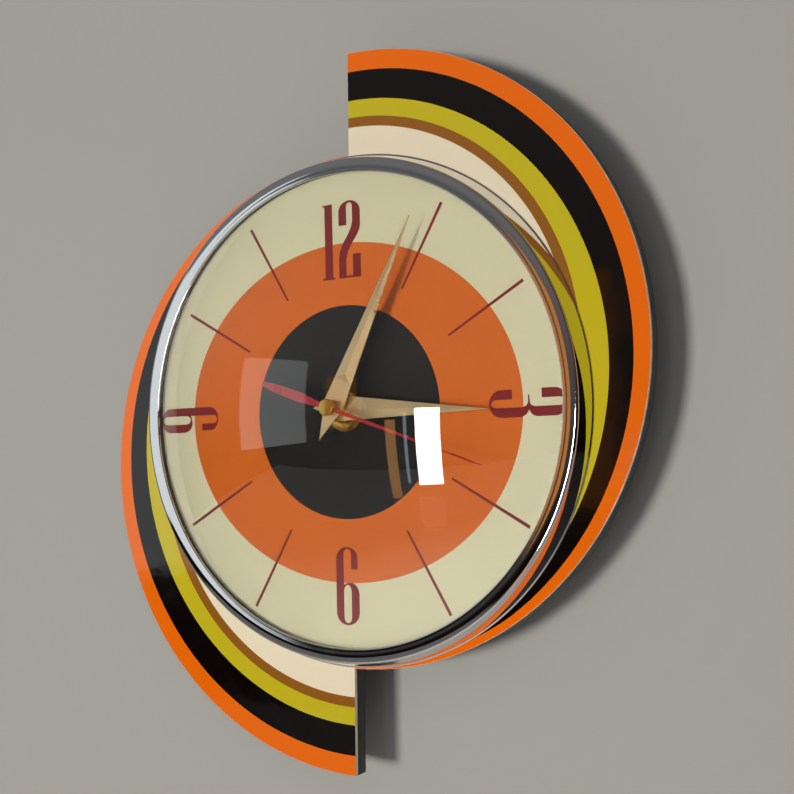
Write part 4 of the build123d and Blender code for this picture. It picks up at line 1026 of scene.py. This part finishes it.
@dataclass
class BezelAndGlass(OnAxis):
    """Chromed bezel that holds the convex glass over a foam seal."""

    rim_radius: float = 104.8
    lip_radius: float = 98.7
    sheet: float = 0.8
    rim_round: float = 1.3
    lip_round: float = 0.5
    crown: float = 0.1  # how far the flat rim swells towards the viewer
    glass_thickness: float = 1.6
    tab_width: float = 6.0
    tab_fold: float = 8.0
    tab_bend: float = 1.2
    foot_roll: float = 0.5  # the foot's edge is rolled outwards
    roll_height: float = 0.8
    crown_steps: int = 10
    segments: int = 360
    glass_steps: int = 48
    glass_segments: int = 240

    def build(self) -> None:
        """Make the bezel, its folded tabs, the glass and the seal."""
        dress("glass_gasket", FOAM_SEAL)
        laminate_front = Seat.of("laminate_face").low.y
        self.ring(laminate_front)
        self.tabs(laminate_front)
        self.glass()

    def ring(self, foot: float) -> None:
        """Make the bezel's turned ring.

        Args:
            foot: Y where it stands on the laminate.
        """
        seat = Seat.of("bezel")
        base, front = seat.radius, seat.low.y
        flat = front + self.crown
        lip_back = front + self.sheet
        rim, lip = (self.rim_radius, flat), (self.lip_radius, flat)
        rolled = base + self.foot_roll
        profile = [(base, foot), (rolled, foot), (rolled, foot - self.foot_roll)]
        profile += [(base, foot - self.roll_height)]
        profile += rounded(rim, (base, foot), lip, self.rim_round, 10)
        crest = (self.rim_radius + self.lip_radius) / 2
        start, end = self.rim_radius - self.rim_round, self.lip_radius + self.lip_round
        for i in range(1, self.crown_steps):
            radius = start + (end - start) * i / self.crown_steps
            swell = 1 - ((radius - crest) / (start - crest)) ** 2
            profile.append((radius, flat - self.crown * max(swell, 0.0)))
        profile += rounded(lip, rim, (self.lip_radius, lip_back), self.lip_round, 5)
        profile += [(self.lip_radius, lip_back), (self.rim_radius - self.sheet, lip_back)]
        profile += [(base - self.sheet, foot)]
        mesh = lathe("bezel_ring", profile, self.axis_z, self.segments)
        add_piece("bezel_ring", mesh, CHROME, FRAME_BODY, ("bezel",))

    def tabs(self, foot: float) -> None:
        """Make the four tabs that pass through the board and fold flat behind it.

        Args:
            foot: Y where the bezel stands on the laminate.
        """
        seat = Seat.of("bezel")
        outer, back = seat.radius, seat.high.y
        inner_side = [(outer - self.sheet, foot), (outer - self.sheet, back - self.sheet)]
        tip = outer - self.tab_fold
        outer_side = rounded((outer, back), (tip, back), (outer, foot), self.tab_bend, 6)
        section = [*inner_side, (tip, back - self.sheet), (tip, back), *outer_side, (outer, foot)]
        half = self.tab_width / 2
        points = [(side * half * MM, y * MM, r * MM) for side in (-1, 1) for r, y in section]
        count = len(section)
        faces = [tuple(range(count)), tuple(range(2 * count - 1, count - 1, -1))]
        faces += [(i, (i + 1) % count, (i + 1) % count + count, i + count) for i in range(count)]
        mesh = bpy.data.meshes.new("bezel_tab")
        mesh.from_pydata(points, [], faces)
        copies = ring_of_copies("bezel_tabs", CHROME, {"Copies": 4, "Turn": pi / 4}, mesh)
        copies.transform(Matrix.Translation((0, 0, self.axis_z * MM)))
        finish_mesh(copies, 20.0)
        add_piece("bezel_tabs", copies, CHROME, FRAME_BODY)

    def glass(self) -> None:
        """Make the domed glass, with both faces and its ground edge."""
        seat = Seat.of("convex_glass")
        radius, edge, outer_apex = seat.radius, seat.high.y, seat.low.y
        inner_apex = outer_apex + self.glass_thickness
        rise = edge - inner_apex
        sphere = (radius**2 + rise**2) / (2 * rise)
        middle = inner_apex + sphere
        steps = self.glass_steps
        profile = []
        for thickness, order in ((0.0, range(steps + 1)), (self.glass_thickness, range(steps, -1, -1))):
            face = sphere + thickness
            for i in order:
                r = radius * i / steps
                profile.append((r, middle - sqrt(face**2 - r**2)))
        mesh = lathe("domed_glass", profile, self.axis_z, self.glass_segments)
        add_piece("domed_glass", mesh, GLASS, FRAME_BODY, ("convex_glass",))


@dataclass
class Hands(OnAxis):
    """Hour, minute and seconds hands with their brass fittings."""

    hour_way: float = 92.15  # rest directions, clockwise from 12
    minute_way: float = 25.82
    thread_pitch: float = 0.75
    thread_radius: float = 3.86
    thread_wire: float = 0.2

    def build(self) -> None:
        """Make the hands and dress what carries them."""
        centre = (0.0, self.axis_z)
        turned_brass = Finish("turned_brass", "#D9AE57", 0.2, centre=centre, **TURNED_BRASS)
        plain_brass = Finish("drawn_brass", "#C99F52", 0.3, centre=centre, **TURNED_BRASS)
        for hand, way in (("hour_hand", self.hour_way), ("minute_hand", self.minute_way)):
            dress(hand, Finish(f"{hand}_brass", "#F0D6A4", 0.32, line_way=way, centre=centre, **BRASS))
        dress("second_hand", RED_LACQUER)
        dress("second_hand_socket", plain_brass)
        softened("seconds_hand_cap", "second_hand_cap", 0.12, turned_brass, "seconds_train")
        softened("centre_nut", "brass_nut", 0.2, turned_brass, FRAME_BODY)
        softened("centre_washer", "brass_washer", 0.12, turned_brass, FRAME_BODY)
        dress("threaded_bushing", plain_brass)
        dress("seconds_arbor", NICKEL_PLATE)
        self.thread(plain_brass)

    def thread(self, finish: Finish) -> None:
        """Lay the bushing's thread over its plain end, in front of the nut.

        Args:
            finish: The bushing's finish.
        """
        start = Seat.of("brass_nut").low.y - self.thread_wire
        length = start - Seat.of("threaded_bushing").low.y - self.thread_wire
        radius = self.thread_radius
        turns = length / self.thread_pitch
        wire = WoundWire(turns, radius, radius, length, self.thread_wire, 6, 48, sharp_angle=50.0)
        wire.add("bushing_thread", finish, Vector((0.0, start, self.axis_z)), "X", "bushing_thread")


@dataclass
class Movement:
    """Battery movement behind the board: case, cover, train, motor, circuit and cell."""

    wire_turns: float = 46.0
    spring_turns: float = 4.5
    spring_wire: float = 0.3
    spring_radii: tuple[float, float] = (3.4, 1.6)  # at the strip and at the cell
    contact_sheet: float = 0.4
    band_share: float = 0.3  # share of the cell that the copper-coloured band covers
    dressed: dict[str, Finish] = field(
        default_factory=lambda: {
            "train_plate": WHITE_ACETAL,
            "hour_wheel": WHITE_ACETAL,
            "minute_wheel": WHITE_ACETAL,
            "motion_wheel": GREEN_ACETAL,
            "seconds_wheel": WHITE_ACETAL,
            "third_wheel": AMBER_ACETAL,
            "intermediate_wheel": WHITE_ACETAL,
            "rotor_pinion": AMBER_ACETAL,
            "rotor_magnet": ROTOR_FERRITE,
            "stator": STATOR_STEEL,
            "coil_core": STATOR_STEEL,
            "coil_bobbin": BOBBIN_NYLON,
            "circuit_board": CIRCUIT_LAMINATE,
            "driver_chip": POTTING_EPOXY,
            "quartz_crystal": CELL_STEEL,
            "battery_terminal": CELL_STEEL,
            "setting_stem": WHITE_ACETAL,
        }
    )

    def build(self) -> None:
        """Make and dress the movement."""
        softened("case_shell", "movement_front_case", 0.15, BLACK_ABS, FRAME_BODY)
        softened("cover_shell", "movement_rear_cover", 0.15, DARK_ABS, FRAME_BODY)
        softened("cover_screws", "case_screws", 0.08, ZINC_PLATE, FRAME_BODY)
        softened("setting_knob_cap", "setting_knob", 0.12, BLACK_ABS, "setting_shaft")
        softened("positive_terminal_strip", "positive_contact", 0.06, NICKEL_PLATE, FRAME_BODY)
        for node, finish in self.dressed.items():
            dress(node, finish)
        self.cell()
        self.winding()
        self.spring()

    def cell(self) -> None:
        """Dress the battery in its printed sleeve."""
        seat = Seat.of("battery_cell")
        band_from = seat.high.x - (seat.high.x - seat.low.x) * self.band_share
        sleeve = CellSleeve("printed_battery_sleeve", "#17181A", 0.25, band_from=band_from, relief=0.002)
        dress("battery_cell", sleeve)

    def winding(self) -> None:
        """Wind the coil, turn beside turn, on its bobbin."""
        seat = Seat.of("coil_winding")
        length = seat.high.x - seat.low.x
        wire = length / self.wire_turns / 2
        radius = (seat.high.z - seat.low.z) / 2 - wire
        turns = WoundWire(self.wire_turns - 1.0, radius, radius, length - 2 * wire, wire, 6, 20)
        start = Vector((seat.low.x + wire, seat.middle.y, seat.middle.z))
        turns.add("coil_wire", COPPER_WIRE, start, "Y", "coil_wire_turns")
        dress("coil_winding", COPPER_WIRE)

    def spring(self) -> None:
        """Make the negative contact: a strip with a conical spring that presses on the cell."""
        seat = Seat.of("negative_contact")
        cell = Seat.of("battery_cell").middle
        left, right = seat.low.x, seat.low.x + self.contact_sheet
        length = seat.high.x - right - 2 * self.spring_wire
        wire = WoundWire(self.spring_turns, *self.spring_radii, length, self.spring_wire, 10, 32)
        start = Vector((right + self.spring_wire, cell.y, cell.z))
        wire.add("contact_spring", NICKEL_PLATE, start, "Y", "negative_spring")
        corners = [(left, seat.low.z), (right, seat.low.z), (right, seat.high.z), (left, seat.high.z)]
        strip = plate_from_outlines("negative_strip", [corners], seat.high.y, seat.low.y)
        add_piece("negative_strip", strip, NICKEL_PLATE, FRAME_BODY, ("negative_contact",))


@dataclass
class Hanger:
    """Pressed bracket that hangs the clock, with its screws and rubber washer."""

    def build(self) -> None:
        """Dress the hanger."""
        softened("hanger_plate", "hanger_bracket", 0.15, ZINC_PLATE, FRAME_BODY)
        softened("bracket_screws", "hanger_screws", 0.12, ZINC_PLATE, FRAME_BODY)
        dress("rubber_washer", RUBBER)


# ---------------------------------------------------------------- studio
@dataclass(frozen=True)
class Card:
    """Something in the room that the glass and chrome mirror.

    It stands in a direction from the dial, with azimuth 0 straight out and positive to the right.
    """

    name: str
    colour: str
    glow: float
    azimuth: float
    elevation: float
    distance: float
    width: float
    height: float

    def shader(self, tree: Tree) -> Socket:
        """The card's even glow."""
        glow = {"Color": linear(self.colour), "Strength": self.glow}
        return add_node(tree, "ShaderNodeEmission", inputs=glow).outputs[0]


@dataclass(frozen=True)
class Lamp:
    """Soft light that looks at the clock, with its power in watts."""

    name: str
    place: tuple[float, float, float]
    size: tuple[float, float]
    power: float
    colour: str


@dataclass
class Studio:
    """Wall, floor, lights, the mirrored room and the camera. Sizes here are metres."""

    lens: float = 53.4
    azimuth: float = 30.14
    elevation: float = -3.15
    roll: float = -0.8
    distance: float = 0.48575
    target: tuple[float, float, float] = (0.0222, -0.026, -0.0338)
    wall_gap: float = 0.0004  # keeps the wall off the case's back
    wall_reach: float = 3.0
    wall_top: float = 1.6
    floor_level: float = -1.4
    floor_reach: float = 5.0
    eye_colour: str = "#E4E4E2"  # what the camera sees past the wall
    lit_colour: str = "#9C9EA0"  # what lights matt surfaces
    room_left: str = "#A0A4A6"  # what mirrors see on each side and below
    room_right: str = "#7A4C2C"
    room_low: str = "#1C140F"
    room_sides: Point = (-0.8, 0.8)
    room_rise: Point = (-0.12, 0.28)
    room_strength: float = 0.5
    lamps: tuple[Lamp, ...] = (
        Lamp("key_light", (-0.38, -1.96, -0.2), (0.34, 0.34), 28.5, "#FFFBF4"),
        Lamp("fill_light", (0.9, -2.2, 1.2), (1.8, 1.4), 4.0, "#F4F6FF"),
        Lamp("back_light", (0.3, 1.7, 0.9), (1.6, 1.2), 14.0, "#FFFFFF"),
    )
    cards: tuple[Card, ...] = (
        Card("window", "#FFFFFF", 26.0, 4.2, -9.7, 2.4, 0.30, 0.92),
        Card("pale_wall", "#E4EAEA", 1.0, -46.0, 4.0, 2.3, 1.0, 0.85),
        Card("lamp_lit_shelf", "#C07838", 1.0, -22.0, 3.5, 2.3, 0.4, 0.55),
        Card("door_frame", "#D89A58", 3.0, -6.8, -13.0, 2.3, 0.12, 0.9),
        Card("curtain_edge", "#AEBCCB", 3.5, -2.4, -10.0, 2.3, 0.035, 0.8),
        Card("under_window", "#B08C80", 1.3, 3.6, -28.0, 2.4, 0.30, 0.42),
    )

    def build(self) -> None:
        """Set up everything round the clock."""
        self.wall_and_floor()
        self.lights()
        self.mirrored_room()
        self.world()
        self.camera()

    def plane(self, name: str, corners: list[tuple[float, float, float]]) -> bpy.types.Object:
        """Flat stage piece from its corners."""
        mesh = bpy.data.meshes.new(name)
        mesh.from_pydata(corners, [], [tuple(range(len(corners)))])
        piece = bpy.data.objects.new(name, mesh)
        bpy.context.scene.collection.objects.link(piece)
        return piece

    def one_sided_paint(self, tree: Tree) -> Socket:
        """Wall paint that is open from behind and to lamps."""
        behind = add_node(tree, "ShaderNodeNewGeometry").outputs["Backfacing"]
        to_lamp = add_node(tree, "ShaderNodeLightPath").outputs["Is Shadow Ray"]
        open_way = calculate(tree, "MAXIMUM", behind, to_lamp)
        clear = add_node(tree, "ShaderNodeBsdfTransparent").outputs[0]
        return mix_shaders(tree, open_way, WALL_PAINT.shader(tree), clear)

    def wall_and_floor(self) -> None:
        """A painted wall that is open from behind, and a pale floor well below."""
        side, gap, low, top = self.wall_reach, self.wall_gap, self.floor_level, self.wall_top
        wall = self.plane("wall", [(-side, gap, low), (side, gap, low), (side, gap, top), (-side, gap, top)])
        wall.data.materials.append(new_material("one_sided_wall", self.one_sided_paint))
        far = self.floor_reach
        floor = self.plane("floor", [(-far, -far, low), (far, -far, low), (far, far, low), (-far, far, low)])
        floor.data.materials.append(FLOOR_PAINT.material())

    def lights(self) -> None:
        """Window light from the left, a weak broad fill from above and one light for the back."""
        for lamp in self.lamps:
            light = bpy.data.lights.new(lamp.name, "AREA")
            light.shape = "RECTANGLE"
            light.size, light.size_y = lamp.size
            light.energy = lamp.power
            light.color = linear(lamp.colour)[:3]
            holder = bpy.data.objects.new(lamp.name, light)
            holder.location = lamp.place
            aim = Vector(self.target) - Vector(lamp.place)
            holder.rotation_euler = aim.to_track_quat("-Z", "Y").to_euler()
            bpy.context.scene.collection.objects.link(holder)
            holder.visible_glossy = False
            holder.visible_transmission = False

    def mirrored_room(self) -> None:
        """Cards that only mirrors see."""
        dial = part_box("dial_disc")
        centre = (dial[0] + dial[1]) / 2
        for card in self.cards:
            a, e = radians(card.azimuth), radians(card.elevation)
            way = Vector((sin(a) * cos(e), -cos(a) * cos(e), sin(e)))
            across = Vector((cos(a), sin(a), 0.0)) * card.width / 2
            up = Vector((0.0, 0.0, 1.0)) * card.height / 2
            middle = centre + way * card.distance
            corners = [middle - across - up, middle + across - up, middle + across + up, middle - across + up]
            piece = self.plane(f"room_{card.name}", [tuple(c) for c in corners])
            piece.data.materials.append(new_material(f"room_{card.name}", card.shader))
            piece.visible_camera = False
            piece.visible_diffuse = False
            piece.visible_shadow = False

    def world(self) -> None:
        """Plain pale surroundings for the eye, and a room's light and dark sides for mirrors."""
        world = bpy.data.worlds.new("room")
        bpy.context.scene.world = world
        world.use_nodes = True
        tree = world.node_tree
        tree.nodes.clear()
        way = add_node(tree, "ShaderNodeTexCoord").outputs["Generated"]
        parts = add_node(tree, "ShaderNodeSeparateXYZ", inputs={0: way}).outputs
        side = map_range(tree, parts["X"], self.room_sides, (0.0, 1.0))
        rise = map_range(tree, parts["Z"], self.room_rise, (0.0, 1.0))
        sides = mix_colours(tree, side, linear(self.room_left), linear(self.room_right))
        room = mix_colours(tree, rise, linear(self.room_low), sides)
        rays = add_node(tree, "ShaderNodeLightPath").outputs
        lit = mix_colours(tree, rays["Is Diffuse Ray"], room, linear(self.lit_colour))
        colour = mix_colours(tree, rays["Is Camera Ray"], lit, linear(self.eye_colour))
        glow = {"Color": colour, "Strength": self.room_strength}
        background = add_node(tree, "ShaderNodeBackground", inputs=glow).outputs[0]
        add_node(tree, "ShaderNodeOutputWorld", inputs={"Surface": background})

    def camera(self) -> None:
        """Stand the camera a little right of the clock and just below its middle."""
        a, e, r = (radians(x) for x in (self.azimuth, self.elevation, self.roll))
        back = Vector((sin(a) * cos(e), -cos(a) * cos(e), sin(e)))
        right = (-back).cross(Vector((0, 0, 1))).normalized()
        up = right.cross(-back)
        tilted_right = cos(r) * right + sin(r) * up
        tilted_up = -sin(r) * right + cos(r) * up
        lens = bpy.data.cameras.new("camera")
        lens.lens, lens.sensor_width = self.lens, 36.0
        lens.clip_start, lens.clip_end = 0.01, 50.0
        holder = bpy.data.objects.new("camera", lens)
        matrix = Matrix((tilted_right, tilted_up, back)).transposed().to_4x4()
        matrix.translation = Vector(self.target) + back * self.distance
        holder.matrix_world = matrix
        bpy.context.scene.collection.objects.link(holder)
        bpy.context.scene.camera = holder
        bpy.context.scene.view_settings.view_transform = "Standard"


def main() -> None:
    """Load the frame, build every sub-assembly round it and set up the studio."""
    logging.basicConfig(level=logging.INFO, format="%(name)s %(message)s")
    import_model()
    axis_z = Seat.of("dial_disc").middle.z
    for assembly in (BackingBoard, Dial, BezelAndGlass, Hands):
        assembly(axis_z).build()
    Movement().build()
    Hanger().build()
    Studio().build()


if __name__ == "__main__":
    main()
